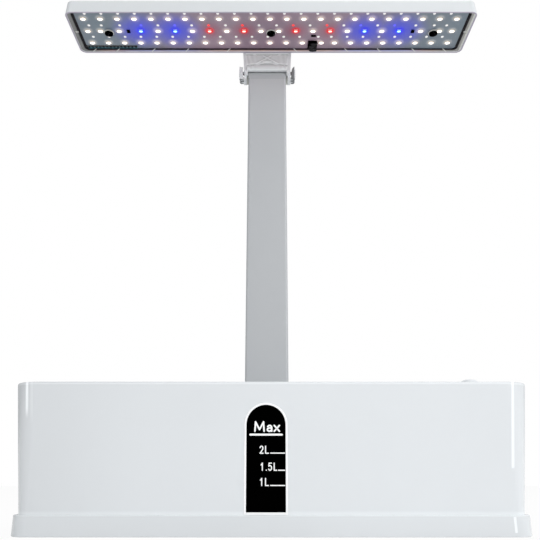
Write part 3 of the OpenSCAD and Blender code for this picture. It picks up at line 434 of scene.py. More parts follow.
def circle(mesh, centre_x, centre_y, z, radius, steps, wide=1.0, deep=1.0):
    """Adds one level ring of corners round a point; wide and deep make it an ellipse."""
    turns = [2 * math.pi * k / steps for k in range(steps)]
    return [mesh.verts.new(Vector((centre_x + wide * radius * math.cos(turn),
                                   centre_y + deep * radius * math.sin(turn), z)) * MM)
            for turn in turns]


def bridge(mesh, first, second, material_index=0):
    """Joins two rings with the same number of corners by a band of faces."""
    for k in range(len(first)):
        j = (k + 1) % len(first)
        face = mesh.faces.new((first[k], first[j], second[j], second[k]))
        face.material_index = material_index


def make_piece(name, mesh, finish, angle=35):
    """Turns a bmesh into an object with smooth shading that breaks at sharp edges."""
    bmesh.ops.recalc_face_normals(mesh, faces=mesh.faces[:])
    data = bpy.data.meshes.new(name)
    mesh.to_mesh(data)
    mesh.free()
    data.polygons.foreach_set("use_smooth", [True] * len(data.polygons))
    data.set_sharp_from_angle(angle=math.radians(angle))
    data.materials.append(finish)
    piece = bpy.data.objects.new(name, data)
    bpy.context.scene.collection.objects.link(piece)
    smooth = piece.modifiers.new("flat flats", "WEIGHTED_NORMAL")
    smooth.keep_sharp = True
    smooth.weight = 60
    return piece


def loft(name, sections, finish, y=0.0):
    """A closed shell through (half width, half depth, corner radius, height) sections."""
    mesh = bmesh.new()
    rings = [ring(mesh, *section, y=y) for section in sections]
    for below, above in zip(rings, rings[1:]):
        bridge(mesh, below, above)
    mesh.faces.new(rings[0][::-1])
    mesh.faces.new(rings[-1])
    return make_piece(name, mesh, finish)


def quarter(half_x, half_y, radius, z, bend, start, end, steps=4):
    """Sections of a rounded edge: bend is its radius, start and end its angles in degrees."""
    made = []
    for step in range(steps + 1):
        angle = math.radians(start + (end - start) * step / steps)
        out = bend * math.cos(angle)
        height = z + bend * math.sin(angle)
        made.append((half_x + out, half_y + out, max(radius + out, 0.5), height))
    return made


print("loft helper ready")

# %% [markdown]
# ## Tank
# The tank's walls lean out by 0.114 mm for each millimetre of height, and its corners open
# with them like cones. The rim is a rolled bead; below it, inside, runs the ledge that the deck
# rests on. One list of cross-sections holds all of this, from the foot up the outside, over the
# bead, and down the inside to the floor.

# %% Tank
FLARE = 0.114
TANK_X, TANK_Y, TANK_R = 181.7, 59.8, 9.0
TRAY_TOP = 15.0
RIM = 107.5
WALL = 2.5
FLOOR = 12.5
LEDGE_TOP = 104.2
BEAD = 1.25


def tank_section(z, inset=0.0):
    """The tank's cross-section at a height, taken in by inset."""
    grow = FLARE * max(z - TRAY_TOP, 0) - inset
    return TANK_X + grow, TANK_Y + grow, TANK_R + grow, z


deck_x, deck_y, deck_r, _ = tank_section(LEDGE_TOP, WALL + 3.0)
rim_x, rim_y, rim_r, _ = tank_section(RIM - BEAD, BEAD)
tank_shell = loft("tank_shell", [
    *quarter(TANK_X - 0.8, TANK_Y - 0.8, TANK_R - 0.8, 4.3, 0.8, -90, 0, 2),
    tank_section(TRAY_TOP - 0.2),
    *[tank_section(TRAY_TOP + (RIM - BEAD - TRAY_TOP) * k / 6) for k in range(6)],
    *quarter(rim_x, rim_y, rim_r, RIM - BEAD, BEAD, 0, 180, 10),
    tank_section(LEDGE_TOP + 0.4, WALL),
    tank_section(LEDGE_TOP, WALL + 0.3),
    (deck_x + 0.3, deck_y + 0.3, deck_r + 0.3, LEDGE_TOP),
    (deck_x, deck_y, deck_r, LEDGE_TOP - 0.4),
    (deck_x, deck_y, deck_r, LEDGE_TOP - 2.0),
    tank_section(LEDGE_TOP - 2.0, WALL),
    tank_section(FLOOR + 2, WALL),
    tank_section(FLOOR + 0.5, WALL + 0.5),
    tank_section(FLOOR, WALL + 2),
], tank_white)
print("tank:", len(tank_shell.data.polygons), "faces")

# %% [markdown]
# ## Highlights on the tank
# Each polished corner carries a thin streak of light that leans out with the wall. The foot of the
# wall gets painted light, as if from the tray's ledge, and the rim has a fine painted bright line.
# Real reflections of thin lamps would need very many samples, so each highlight is painted
# instead, worked out from X and Z as a soft band of light in the finish.

# %% Tank highlights
STREAK_SLOPE = 0.0733
STREAK_LEVEL = 95
# each streak: side, distance from the middle at that level, start and full height, strength
STREAKS = ((-1, 179.2, 80.0, 90.0, 0.26), (-1, 175.4, 74.0, 90.0, 0.06),
           (1, 176.5, 46.0, 47.5, 0.2))
FOOT_HIGH, FOOT_GLOW = 3.2, 0.115
tank_recipe, _ = plastics["tank_white"]
tank_across, _, tank_height = tank_recipe.axes()
# painted light at the wall's foot, a painted highlight on the rim, and painted highlight streaks
# on the corners
foot = tank_recipe.ramp(tank_height, TRAY_TOP * MM, (TRAY_TOP + FOOT_HIGH) * MM, FOOT_GLOW, 0.0)
rim_highlight = lit_band(tank_recipe, tank_height, RIM - 2.2, RIM - 1.9, RIM - 1.3, RIM - 0.8, 0.07)
streaks = []
for side, middle, dark, full, bright in STREAKS:
    lean = tank_recipe.times(tank_height, side * STREAK_SLOPE)
    at = tank_recipe.minus(tank_across, lean)
    at = tank_recipe.minus(at, side * (middle - STREAK_LEVEL * STREAK_SLOPE) * MM)
    line = tank_recipe.ramp(tank_recipe.math("ABSOLUTE", at), 0.6 * MM, 1.4 * MM, bright, 0.0)
    streaks.append(tank_recipe.times(line, tank_recipe.ramp(tank_height, dark * MM, full * MM)))
add_painted_light(tank_recipe, foot, rim_highlight, *streaks)
print("tank streaks:", len(streaks))

# %% [markdown]
# ## Cutting the window
# The level window is let into the front wall. The hole could be built into the loft, but then
# every ring would need extra corners. A tall prism with a round top, set square to the leaning
# wall, is subtracted with a Boolean modifier instead, which is then applied.

# %% Window opening
LEAN = math.atan(FLARE)
WINDOW_X = -4.0
WINDOW_LOW = 16.7
WINDOW_HIGH = 90.8
WINDOW_HALF = 14.2
BORDER = 1.5
on_wall = (Matrix.Translation(Vector((WINDOW_X, -tank_section(WINDOW_LOW)[1], WINDOW_LOW)) * MM)
           @ Matrix.Rotation(math.pi / 2 + LEAN, 4, "X"))


def arch_points(grow, steps=24):
    """Outline of the window on the wall, grown by that many millimetres."""
    half = WINDOW_HALF + grow
    straight = (WINDOW_HIGH - WINDOW_LOW) / math.cos(LEAN) - WINDOW_HALF
    points = [(-half, -grow), (half, -grow)]
    for step in range(steps + 1):
        angle = math.pi * step / steps
        points.append((half * math.cos(angle), straight + half * math.sin(angle)))
    return points


def prism(name, points, low, high):
    """A straight prism on the wall, from one height above it to another, in millimetres."""
    mesh = bmesh.new()
    bottom = [mesh.verts.new(on_wall @ (Vector((x, y, low)) * MM)) for x, y in points]
    top = [mesh.verts.new(on_wall @ (Vector((x, y, high)) * MM)) for x, y in points]
    mesh.faces.new(bottom[::-1])
    mesh.faces.new(top)
    bridge(mesh, bottom, top)
    return make_piece(name, mesh, tank_white)


def cut(piece, tool):
    """Subtracts tool from piece for good, and removes the tool."""
    boolean = piece.modifiers.new("cut", "BOOLEAN")
    boolean.operation = "DIFFERENCE"
    boolean.solver = "EXACT"
    boolean.object = tool
    piece.modifiers.move(len(piece.modifiers) - 1, 0)
    with bpy.context.temp_override(object=piece, active_object=piece):
        bpy.ops.object.modifier_apply(modifier="cut")
    bpy.data.objects.remove(tool)


cut(tank_shell, prism("window_cutter", arch_points(BORDER), -6, 3))
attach(tank_shell, "tank")
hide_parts("water_tank")
print("tank after the cut:", len(tank_shell.data.polygons), "faces")

# %% [markdown]
# ## Tray
# The tray is a shallow pan with an upright edge. Its rim is softly rounded, and its floor carries
# the tank. It is lofted like the tank: out over the flat underside, up the edge, round the rim
# and down inside to the floor. The rubber feet stand out of the underside by a little.

# %% Tray
TRAY_X, TRAY_Y, TRAY_R = 185.1, 63.2, 12.4
TRAY_BOTTOM = 0.6
EDGE = 0.9
tray_pan = loft("tray_pan", [
    (TRAY_X - 24, TRAY_Y - 24, 3, TRAY_BOTTOM),
    (TRAY_X - 3, TRAY_Y - 3, TRAY_R - 3, TRAY_BOTTOM),
    *quarter(TRAY_X - 0.6, TRAY_Y - 0.6, TRAY_R - 0.6, TRAY_BOTTOM + 0.6, 0.6, -90, 0, 3),
    *quarter(TRAY_X - EDGE, TRAY_Y - EDGE, TRAY_R - EDGE, TRAY_TOP - EDGE, EDGE, 0, 90, 4),
    (TANK_X + 0.5, TANK_Y + 0.5, TANK_R + 0.5, TRAY_TOP),
    (TANK_X + 0.1, TANK_Y + 0.1, TANK_R + 0.1, TRAY_TOP - 0.5),
    (TANK_X + 0.1, TANK_Y + 0.1, TANK_R + 0.1, 3.5),
], tray_white)
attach(tray_pan, "tank")
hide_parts("base_tray")
print("tray:", len(tray_pan.data.polygons), "faces")

# %% [markdown]
# ## Highlights on the tray
# The tray's rounded rim catches light from above all the way round, and its right corner has one
# upright streak. Both are painted highlights, soft bands of light in the finish, as on the tank.

# %% Tray highlights
tray_recipe, _ = plastics["tray_white"]
tray_across, _, tray_height = tray_recipe.axes()
# painted highlights along the rim and on the right corner
ledge_highlight = tray_recipe.ramp(tray_height, (TRAY_TOP - 0.9) * MM, TRAY_TOP * MM, 0.0, 0.09)
upright_streak = lit_band(tray_recipe, tray_across, 169.4, 170.0, 171.2, 171.8, 0.22)
between_edges = lit_band(tray_recipe, tray_height, 3.0, 4.0, 13.6, 14.2, 1.0)
add_painted_light(tray_recipe, ledge_highlight, tray_recipe.times(upright_streak, between_edges))
print("tray finish:", len(tray_recipe.nodes), "nodes")

# %% [markdown]
# ## Level marks
# The marks are printed on the window: a line for the most water, and shorter ones for the litres,
# with plain figures beside them. They could be a texture, but strokes of a round pen stay sharp
# from any distance, so each figure is a few strokes with round ends, a hair above the window.

# %% Level marks
INK = 0.06
LAYER = 0.0015


def arc(cx, cy, rx, ry, start, end, steps=10):
    """Points along part of an ellipse, by its centre, radii and angles in degrees."""
    angles = [math.radians(start + (end - start) * k / steps) for k in range(steps + 1)]
    return [(cx + rx * math.cos(a), cy + ry * math.sin(a)) for a in angles]


# Each figure is drawn in a box one unit wide and one high, as strokes of a round pen
FIGURES = {
    "1": [[(0.05, 0.74), (0.75, 1.0), (0.75, 0.0)]],
    "2": [arc(0.48, 0.71, 0.44, 0.29, 165, -38) + [(0.05, 0.0), (0.98, 0.0)]],
    "5": [[(0.90, 1.0), (0.18, 1.0), (0.12, 0.56)] + arc(0.46, 0.33, 0.47, 0.33, 118, -150)],
    "L": [[(0.08, 1.0), (0.08, 0.0), (0.95, 0.0)]],
    ".": [[(0.5, 0.0), (0.5, 0.01)]],
    "M": [[(0.04, 0.0), (0.10, 1.0), (0.5, 0.18), (0.90, 1.0), (0.96, 0.0)]],
    "a": [arc(0.52, 0.62, 0.46, 0.38, 150, 0) + [(0.98, 0.0)],
          [(0.98, 0.56), (0.50, 0.56)] + arc(0.46, 0.28, 0.44, 0.28, 90, 330)],
    "x": [[(0.05, 1.0), (0.95, 0.0)], [(0.95, 1.0), (0.05, 0.0)]],
}


def on_window(x, height, ink):
    """A point on the window from its place across and its height above the counter."""
    up = (height - WINDOW_LOW) / math.cos(LEAN)
    return on_wall @ (Vector((x - WINDOW_X, up, ink)) * MM)


def stroke(mesh, points, pen):
    """A printed line of a round pen through points, each part a hair above the one before."""
    half = pen / 2
    for layer, ((x0, z0), (x1, z1)) in enumerate(zip(points, points[1:])):
        ink = INK + LAYER * layer
        along = math.atan2(z1 - z0, x1 - x0)
        outline = []
        for x, z, first in ((x1, z1, along - math.pi / 2), (x0, z0, along + math.pi / 2)):
            for step in range(7):
                angle = first + math.pi * step / 6
                outline.append(mesh.verts.new(
                    on_window(x + half * math.cos(angle), z + half * math.sin(angle), ink)))
        mesh.faces.new(outline)


def figure(mesh, sign, left, right, low, height, pen):
    """One figure or letter in its box, the pen's width kept inside the box."""
    half = pen / 2
    width = right - left - pen
    tall = height - pen
    for points in FIGURES[sign]:
        stroke(mesh, [(left + half + u * width, low + half + v * tall) for u, v in points], pen)


# the word for the most water: sign, left and right edge, height
BOLD = 1.2
TOP_WORD = (("M", -12.9, -4.5, 7.7), ("a", -3.7, 0.8, 5.2), ("x", 1.2, 6.5, 5.2))
TOP_WORD_LOW = 71.6
# the litres: foot of the figures, then sign, left and right edge of each
FINE, FIGURE_HIGH = 0.8, 5.7
LITRES = ((56.5, (("2", -8.8, -5.6), ("L", -4.9, -1.7))),
          (44.8, (("1", -7.9, -5.9), (".", -4.4, -3.1), ("5", -2.6, 0.6), ("L", 1.3, 4.2))),
          (34.4, (("1", -8.4, -6.3), ("L", -4.9, -1.7))))
# the lines: pen, height, left and right end
LINES = ((1.4, 69.8, -15.4, 7.5), (0.75, 57.0, -0.7, 9.5), (0.75, 45.2, 5.0, 9.5),
         (0.75, 34.85, -0.7, 9.5))
marks = bmesh.new()
for sign, left, right, high in TOP_WORD:
    figure(marks, sign, left, right, TOP_WORD_LOW, high, BOLD)
for low, signs in LITRES:
    for sign, left, right in signs:
        figure(marks, sign, left, right, low, FIGURE_HIGH, FINE)
for pen, level, left, right in LINES:
    stroke(marks, [(left, level), (right, level)], pen)
level_print = make_piece("level_print", marks, mark_white)
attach(level_print, "tank")
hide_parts("scale_marks")
print("marks:", len(level_print.data.polygons), "faces")

# %% [markdown]
# ## Push button
# The button's cap is a shallow dome on a stepped stem. It is round all over, so a lathe makes it
# in one go: the profile is a list of radius and height pairs, turned round the button's own axis.
# The dome is part of a sphere, rolled over a little at its edge.

# %% Push button
def lathe(name, profile, centre, finish, steps=64):
    """Turns a (radius, height) profile round Z at a place, in millimetres."""
    mesh = bmesh.new()
    rings = []
    for radius, z in profile:
        rings.append(circle(mesh, *centre, z, radius, 1 if radius < 0.001 else steps))
    for below, above in zip(rings, rings[1:]):
        for k in range(steps):
            j = (k + 1) % steps
            loop = [below[k % len(below)], below[j % len(below)],
                    above[j % len(above)], above[k % len(above)]]
            unique = list(dict.fromkeys(loop))
            if len(unique) > 2:
                mesh.faces.new(unique)
    return make_piece(name, mesh, finish)


BUTTON = (152, -48)
BUTTON_TOP = 112.2
BUTTON_R = 6.2
SPHERE_R = 14
ROLL = 0.35
STEM_R, STEM_LOW = 3, 104.1
COLLAR_R, COLLAR_LOW, COLLAR_TOP = 7.5, 105.5, 106.8
radii = [BUTTON_R * math.sin(math.radians(90 - 9 * k)) for k in range(11)]
dome = [(r, BUTTON_TOP - SPHERE_R + math.sqrt(SPHERE_R ** 2 - r ** 2)
         - ROLL * (r / BUTTON_R) ** 6) for r in radii]
button_dome = lathe("button_dome", [
    (0, STEM_LOW), (STEM_R, STEM_LOW), (STEM_R, COLLAR_LOW), (COLLAR_R, COLLAR_LOW),
    (COLLAR_R, COLLAR_TOP), (BUTTON_R, COLLAR_TOP), *dome,
], BUTTON, button_grey)
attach(button_dome, "button")
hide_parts("button_cap")
print("button:", len(button_dome.data.polygons), "faces")

# %% [markdown]
# ## Lamp housing
# The housing is an open tray, upside down: upright sides with a little draft, a bevelled top, and
# a thin lip round the open side. It is lofted like the tank, from the roof inside, down the inner
# wall, round the lip and up the outside to the top.

# %% Lamp housing
LAMP_Y = -6.0
LAMP_X_HALF, LAMP_Y_HALF = 197.7, 31.3
LAMP_R = 6.5
LAMP_LOW = 461.8
LAMP_SIDE = 15.0
LAMP_BEVEL = 1.8
LAMP_TOP = LAMP_LOW + LAMP_SIDE + 1.2
DRAFT = 0.08
LAMP_WALL = 1.8


def lamp_section(z, inset=0.0):
    """The lamp's cross-section at a height, taken in by inset."""
    inset += DRAFT * (z - LAMP_LOW)
    return LAMP_X_HALF - inset, LAMP_Y_HALF - inset, max(LAMP_R - inset, 1.0), z


lip_x, lip_y, lip_r, _ = lamp_section(LAMP_LOW, LAMP_WALL / 2)
side_top = LAMP_LOW + LAMP_SIDE - LAMP_BEVEL
crown_x, crown_y, crown_r, _ = lamp_section(side_top, LAMP_BEVEL)

# Inside, the end walls slope in towards the board and the long walls stand almost upright
SLOPE_LOW, SLOPE_HIGH = LAMP_LOW + 1.0, LAMP_LOW + 3.5
SLOPE_X, SLOPE_Y = 190.2, 28.4
lamp_shell = loft("lamp_shell", [
    lamp_section(LAMP_LOW + LAMP_SIDE - 1.8, LAMP_WALL),
    lamp_section(SLOPE_HIGH + 0.6, LAMP_WALL),
    (SLOPE_X, SLOPE_Y, 4.0, SLOPE_HIGH),
    (SLOPE_X + 0.9, SLOPE_Y + 0.2, 4.1, SLOPE_HIGH - 0.5),
    lamp_section(SLOPE_LOW, LAMP_WALL),
    *quarter(lip_x, lip_y, lip_r, LAMP_LOW + LAMP_WALL / 2, LAMP_WALL / 2, 180, 360, 8),
    lamp_section(LAMP_LOW + 1.5),
    *quarter(crown_x, crown_y, crown_r, side_top, LAMP_BEVEL, 0, 80, 6),
    (crown_x - 3.5, crown_y - 3.5, 3.0, LAMP_TOP),
], lamp_white, y=LAMP_Y)
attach(lamp_shell, "lamp")
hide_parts("lamp_housing")
print("lamp housing:", len(lamp_shell.data.polygons), "faces")

# %% [markdown]
# ## Shade under the lip
# The lip's lower edge faces the tank and gets little light, so it is greyer than the side above
# it. Only faces near the lip that look down are darkened: the place and the direction are both
# smooth ramps, and the larger of the two keeps the white.

# %% Shade under the lip
LIP_SHADE = linear(176, 168, 184)
lip_recipe, lip_colour = plastics["lamp_white"]
_, _, lip_height = lip_recipe.axes()
_, _, lip_facing = lip_recipe.axes(lip_recipe.facing)
above_lip = lip_recipe.ramp(lip_height, (LAMP_LOW + 0.5) * MM, (LAMP_LOW + 1.0) * MM)
upward = lip_recipe.ramp(lip_facing, -0.75, -0.3)
lit_side = lip_recipe.math("MAXIMUM", above_lip, upward)
lip_recipe.feed(lip_recipe.mix(lit_side, LIP_SHADE, lip_colour), "Base Color")
print("lamp finish:", len(lip_recipe.nodes), "nodes")

# %% [markdown]
# ## Inside of the lamp
# The housing is white outside, but its inner walls catch the coloured light and the shade of the
# board. A second finish paints that light and shade on them: warm near the lip, tinted blue beside
# the blue diodes, greyer towards both ends with a painted bright band near the right end, and
# painted dark shade where the wall meets the board. It also has a faint painted glow, stronger
# towards the right. The loft's inner faces get it by their height.

# %% Inside finish
COLOURED_STEP = 34.3
COLOURED_FIRST = 25.8
LED_X0 = -1.2
blue_spots = [(LED_X0 + s * (COLOURED_FIRST + k * COLOURED_STEP), LAMP_Y)
              for s in (-1, 1) for k in (2, 3)]
red_spots = [(LED_X0 + s * (COLOURED_FIRST + k * COLOURED_STEP), LAMP_Y)
             for s in (-1, 1) for k in (0, 1)]


def reach(recipe, spots, near, far, stretch_y):
    """How strongly light from spots in the middle row reaches a point: 1 near one, 0 far off."""
    across, along, _ = recipe.axes()
    dy = recipe.times(recipe.minus(along, LAMP_Y * MM), stretch_y)
    near_by = [recipe.ramp(recipe.length(recipe.minus(across, x * MM), dy),
                           near * MM, far * MM, 1.0, 0.0) for x, _ in spots]
    return recipe.math("MAXIMUM", *near_by)


DEEP_SHADE = linear(14, 10, 18)
inner = Recipe("lamp_inside", Specular_IOR_Level=0.12)
inner_x, _, inner_z = inner.axes()
# painted shade near the board and painted light of the diodes on the inner walls
shade = inner.ramp(inner_z, (SLOPE_HIGH - 1.5) * MM, (SLOPE_HIGH - 1.0) * MM)
painted_inner_light = inner.mix(inner.noise(60, 3), linear(200, 172, 158), linear(186, 162, 170))
painted_inner_light = inner.mix(reach(inner, blue_spots, 4, 42, 0.2), painted_inner_light, linear(170, 170, 206))
painted_inner_light = inner.mix(inner.ramp(inner_x, -165 * MM, -188 * MM), painted_inner_light, linear(134, 135, 134))
painted_inner_light = inner.mix(inner.ramp(inner_x, 150 * MM, 188 * MM), painted_inner_light, linear(152, 150, 148))
bright_end = lit_band(inner, inner_x, 194.3, 194.9, 196.5, 197.0, 0.6)
painted_inner_light = inner.mix(bright_end, painted_inner_light, linear(214, 217, 210))
inner.feed(inner.mix(shade, painted_inner_light, DEEP_SHADE), "Base Color")
# a faint painted glow from the diodes, stronger towards the right
inner.feed(inner.mix(shade, painted_inner_light, (0, 0, 0)), "Emission Color")
inner.feed(inner.ramp(inner_x, -190 * MM, 190 * MM, 0.06, 0.22), "Emission Strength")
inner.feed(inner.ramp(inner.noise(90, 3), 0.3, 0.7, 0.35, 0.5), "Roughness")
inner.bump(inner.noise(500, 3), 0.05, 0.0001)
lamp_shell.data.materials.append(inner.material)
for face in lamp_shell.data.polygons:
    above_lip = face.center.z > (LAMP_LOW + 1.0) * MM
    facing_in = face.normal.x * face.center.x + face.normal.y * (face.center.y - LAMP_Y * MM) < 0
    if above_lip and facing_in and face.center.z < side_top * MM:
        face.material_index = 1
print("inner faces:", sum(face.material_index for face in lamp_shell.data.polygons))

# %% [markdown]
# ## Ribs inside the lamp
# Thin slanted ribs stand along the lamp's inner walls. They hold the board's edge and keep it
# clear of the walls, and they break up the light strip that the walls catch. Each is a bar with
# four long sides between a low and a high point; those at the lamp's two ends are short.

# %% Lamp ribs
package_white = moulded("package_white", linear(235, 235, 230), 0.4, grain=2000)
RIB_X = (-183, -159, -122, -87, -44, 25, 78, 112, 148, 180)
RIB_LEAN = 1.6
RIB_SUNK, RIB_PROUD = 0.5, 0.35
END_RIB = (0.2, 0.65)


def rib(mesh, low, high, along, half=0.5):
    """A slanted rib that lies on an inner wall, from a low point to a high one."""
    inward = (high - low).cross(along).normalized()
    if inward.z > 0:
        inward = -inward
    corners = []
    for spot in (low, high):
        for side, out in ((-half, -RIB_SUNK), (half, -RIB_SUNK),
                          (half, RIB_PROUD), (-half, RIB_PROUD)):
            corners.append(mesh.verts.new((spot + along * side + inward * out) * MM))
    first, last = corners[:4], corners[4:]
    mesh.faces.new(first[::-1])
    mesh.faces.new(last)
    bridge(mesh, first, last)


ribs = bmesh.new()
WALL_X, WALL_Y = LAMP_X_HALF - LAMP_WALL, LAMP_Y_HALF - LAMP_WALL
for x in RIB_X:
    lean = math.copysign(RIB_LEAN, -x)
    for side in (-1, 1):
        low = Vector((x - lean, LAMP_Y + side * WALL_Y, SLOPE_LOW))
        high = Vector((x + lean, LAMP_Y + side * SLOPE_Y, SLOPE_HIGH))
        rib(ribs, low, high, Vector((1, 0, 0)))
for side in (-1, 1):
    low = Vector((side * WALL_X, LAMP_Y - RIB_LEAN, SLOPE_LOW))
    high = Vector((side * SLOPE_X, LAMP_Y + RIB_LEAN, SLOPE_HIGH))
    rib(ribs, *(low.lerp(high, part) for part in END_RIB), Vector((0, 1, 0)))
lamp_ribs = make_piece("lamp_ribs", ribs, package_white)
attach(lamp_ribs, "lamp")
print("ribs:", len(lamp_ribs.data.polygons) // 6)

# %% [markdown]
# ## Diodes
# The lamp holds three rows of diodes. The outer two are white and evenly spaced, and only one
# diode stands aside, to make room for the lead's plug. The middle row alternates: red ones near
# the middle, blue ones further out, white ones between them and at the ends. Their places are
# worked out first, because the finishes of the board and of the walls need them too.

# %% Diode places
LED_PITCH = 16.51
ROW_PITCH = 18.1
LED_FACE = 464.4
LED_COUNT = 23
PLUG_LED, PLUG_ROOM = 14, 3

outer_rows = []
for side in (-1, 1):
    for i in range(LED_COUNT):
        nudge = PLUG_ROOM if side > 0 and i == PLUG_LED else 0
        x = (i - (LED_COUNT - 1) / 2) * LED_PITCH + nudge
        outer_rows.append((LED_X0 + x, LAMP_Y + side * ROW_PITCH))
halfway = [COLOURED_FIRST + (k + 0.5) * COLOURED_STEP for k in range(3)]
between = [8.9, *halfway, 150.3, 169, 181.6]
middle_row = [(LED_X0 + side * x, LAMP_Y) for side in (-1, 1) for x in between]
white_spots = outer_rows + middle_row
print("diodes:", len(white_spots), "white,", len(red_spots), "red,", len(blue_spots), "blue")

# %% [markdown]
# ## Light of the diodes
# A lit diode is brightest in its core, and the ring round it shows the diode's own colour. Each
# part is its own finish: it glows, with a fine speckle so that no two diodes look quite the same.

# %% Diode finishes
def glowing(name, core, rim, strength, shine=0.5):
    """A lit diode: its core is brightest, and the light changes colour towards the rim."""
    recipe = Recipe(name, Roughness=0.3, Specular_IOR_Level=shine)
    speckle = recipe.noise(2600, 2)
    lit = recipe.mix(recipe.ramp(speckle, 0.2, 0.8, 0.0, 1.0), rim, core)
    recipe.feed(recipe.mix(speckle, [c * 0.95 for c in rim], rim), "Base Color")
    recipe.feed(lit, "Emission Color")
    recipe.shader.inputs["Emission Strength"].default_value = strength
    recipe.bump(speckle, 0.05, 0.00005)
    return recipe.material


white_light = glowing("white_light", (1.0, 0.98, 0.94), (1.0, 0.95, 0.88), 2.4)
red_light = glowing("red_light", (1.0, 0.80, 0.74), (1.0, 0.50, 0.40), 1.5)
blue_light = glowing("blue_light", (0.70, 1.0, 0.95), (0.25, 0.80, 1.0), 1.6)
red_edge = glowing("red_edge", (0.9, 0.002, 0.006), (0.7, 0.001, 0.003), 0.6, 0.0)
blue_edge = glowing("blue_edge", (0.004, 0.10, 1.0), (0.004, 0.03, 1.0), 0.8, 0.0)
white_edge = glowing("white_edge", (0.66, 0.55, 0.38), (0.56, 0.46, 0.36), 0.6)
print("diode finishes made")

# %% [markdown]
# ## Shape of the diodes
# Each diode is a small square package with a round pool of phosphor under a low dome. A lathe
# could turn each dome, but four rings of sixteen corners are enough at this size, and one loop
# over the list of places draws them all. One mesh for each colour matches the solids.

# %% Diode shapes
DOME_STEPS = 16
BROAD, FLAT = 1.14, 0.86
PACKAGE_FOOT, PACKAGE_TOP = (1.85, 1.0), (1.7, 0.25)
# radius of the glowing core, and of the ring round it
WHITE_POOL, COLOURED_POOL = (1.95, 2.5), (1.6, 2.45)
SQUARE = ((1, 1), (-1, 1), (-1, -1), (1, -1))


def diodes(name, node, spots, light, edge, slot):
    """Packages with low domes at many places: the dome glows, and the ring round it too."""
    mesh = bmesh.new()
    core, wide = WHITE_POOL if slot == "led_white" else COLOURED_POOL
    bands = ((wide, -0.02, 1), (wide - 0.25, -0.10, 1), (core, -0.28, 1), (0.7 * core, -0.40, 0))
    for cx, cy in spots:
        foot, top = ([mesh.verts.new(Vector((cx + sx * half, cy + sy * half, LED_FACE + up)) * MM)
                      for sx, sy in SQUARE] for half, up in (PACKAGE_FOOT, PACKAGE_TOP))
        bridge(mesh, foot, top, 2)
        mesh.faces.new(top).material_index = 2
        last = None
        for radius, z, kind in bands:
            level = LED_FACE + PACKAGE_TOP[1] + z
            band = circle(mesh, cx, cy, level, radius, DOME_STEPS, BROAD, FLAT)
            if last:
                bridge(mesh, last, band, kind)
            last = band
        mesh.faces.new(last).material_index = 0
    piece = make_piece(name, mesh, light, angle=60)
    piece.data.materials.append(edge)
    piece.data.materials.append(package_white)
    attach(piece, "lamp")
    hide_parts(node)


diodes("white_diodes", "white_leds", white_spots, white_light, white_edge, "led_white")
diodes("red_diodes", "red_leds", red_spots, red_light, red_edge, "led_red")
diodes("blue_diodes", "blue_leds", blue_spots, blue_light, blue_edge, "led_blue")
print("diodes drawn")

# %% [markdown]
# ## Lamp board
# The board is lacquered aluminium. The coloured diodes light it: blue light spreads right across
# it round the blue ones, and the red ones leave a small warm patch. Light bouncing under the cover
# could give this, but it would need many samples. So this light is painted into the board's colour
# instead, worked out from the distance to each coloured diode, so it stays with the board when the
# lamp tilts.

# %% Painted light on the board
board = Recipe("lamp_board", Coat_Weight=0.35, Coat_Roughness=0.15)
board_x, board_y, _ = board.axes()
blue_reach = reach(board, blue_spots, 4, 34, 1.05)
red_reach = reach(board, red_spots, 2, 17, 1.0)
red_halo = reach(board, red_spots, 2.4, 6.2, 0.9)
blue_halo = reach(board, blue_spots, 2.6, 7.5, 0.9)
middle = board.ramp(board.math("ABSOLUTE", board_x), 0.05, 0.17, 1.0, 0.0)
cloud = board.noise(38, 3)
# painted light of the diodes: purplish in the middle round the red ones, a warm patch by each red
# one, blue round the blue ones
board_colour_and_light = board.mix(middle, linear(108, 124, 136), linear(154, 127, 144))
board_colour_and_light = board.mix(board.ramp(cloud, 0.3, 0.7, 0.0, 0.3), board_colour_and_light, linear(132, 134, 144))
board_colour_and_light = board.mix(board.times(red_reach, 0.9), board_colour_and_light, linear(158, 88, 112))
board_colour_and_light = board.mix(blue_reach, board_colour_and_light, linear(66, 74, 216))
board_colour_and_light = board.mix(blue_halo, board_colour_and_light, linear(20, 28, 190))
board_colour_and_light = board.mix(red_halo, board_colour_and_light, linear(178, 34, 48))
print("board tinted")

# %% [markdown]
# ## Halo of the white diodes
# Each white diode lights a small patch of board round it. The two outer rows repeat every pitch,
# so one distance serves all their diodes: the place is folded back into a single pitch.

# %% Halo of the white diodes
step_x = board.minus(board_x, (LED_X0 + LED_PITCH / 2) * MM)
step_x = board.minus(board.math("FLOORED_MODULO", step_x, LED_PITCH * MM), LED_PITCH / 2 * MM)
step_y = board.math("ABSOLUTE", board.minus(board_y, LAMP_Y * MM))
near_white = board.length(step_x, board.minus(step_y, ROW_PITCH * MM))
outer_halo = board.ramp(near_white, 2.2 * MM, 6.0 * MM, 1.0, 0.0)
middle_halo = reach(board, middle_row, 2.2, 6.0, 1.0)
white_halo = board.math("MAXIMUM", outer_halo, middle_halo)
print("halo round", len(white_spots), "white diodes")

# %% [markdown]
# ## Bare corner of the board
# One corner of the board carries no paint: it shows teal lacquer and a row of dark solder pads.
# A saw-tooth along X gives the row of pads, and smooth steps along X and Y bound the corner.

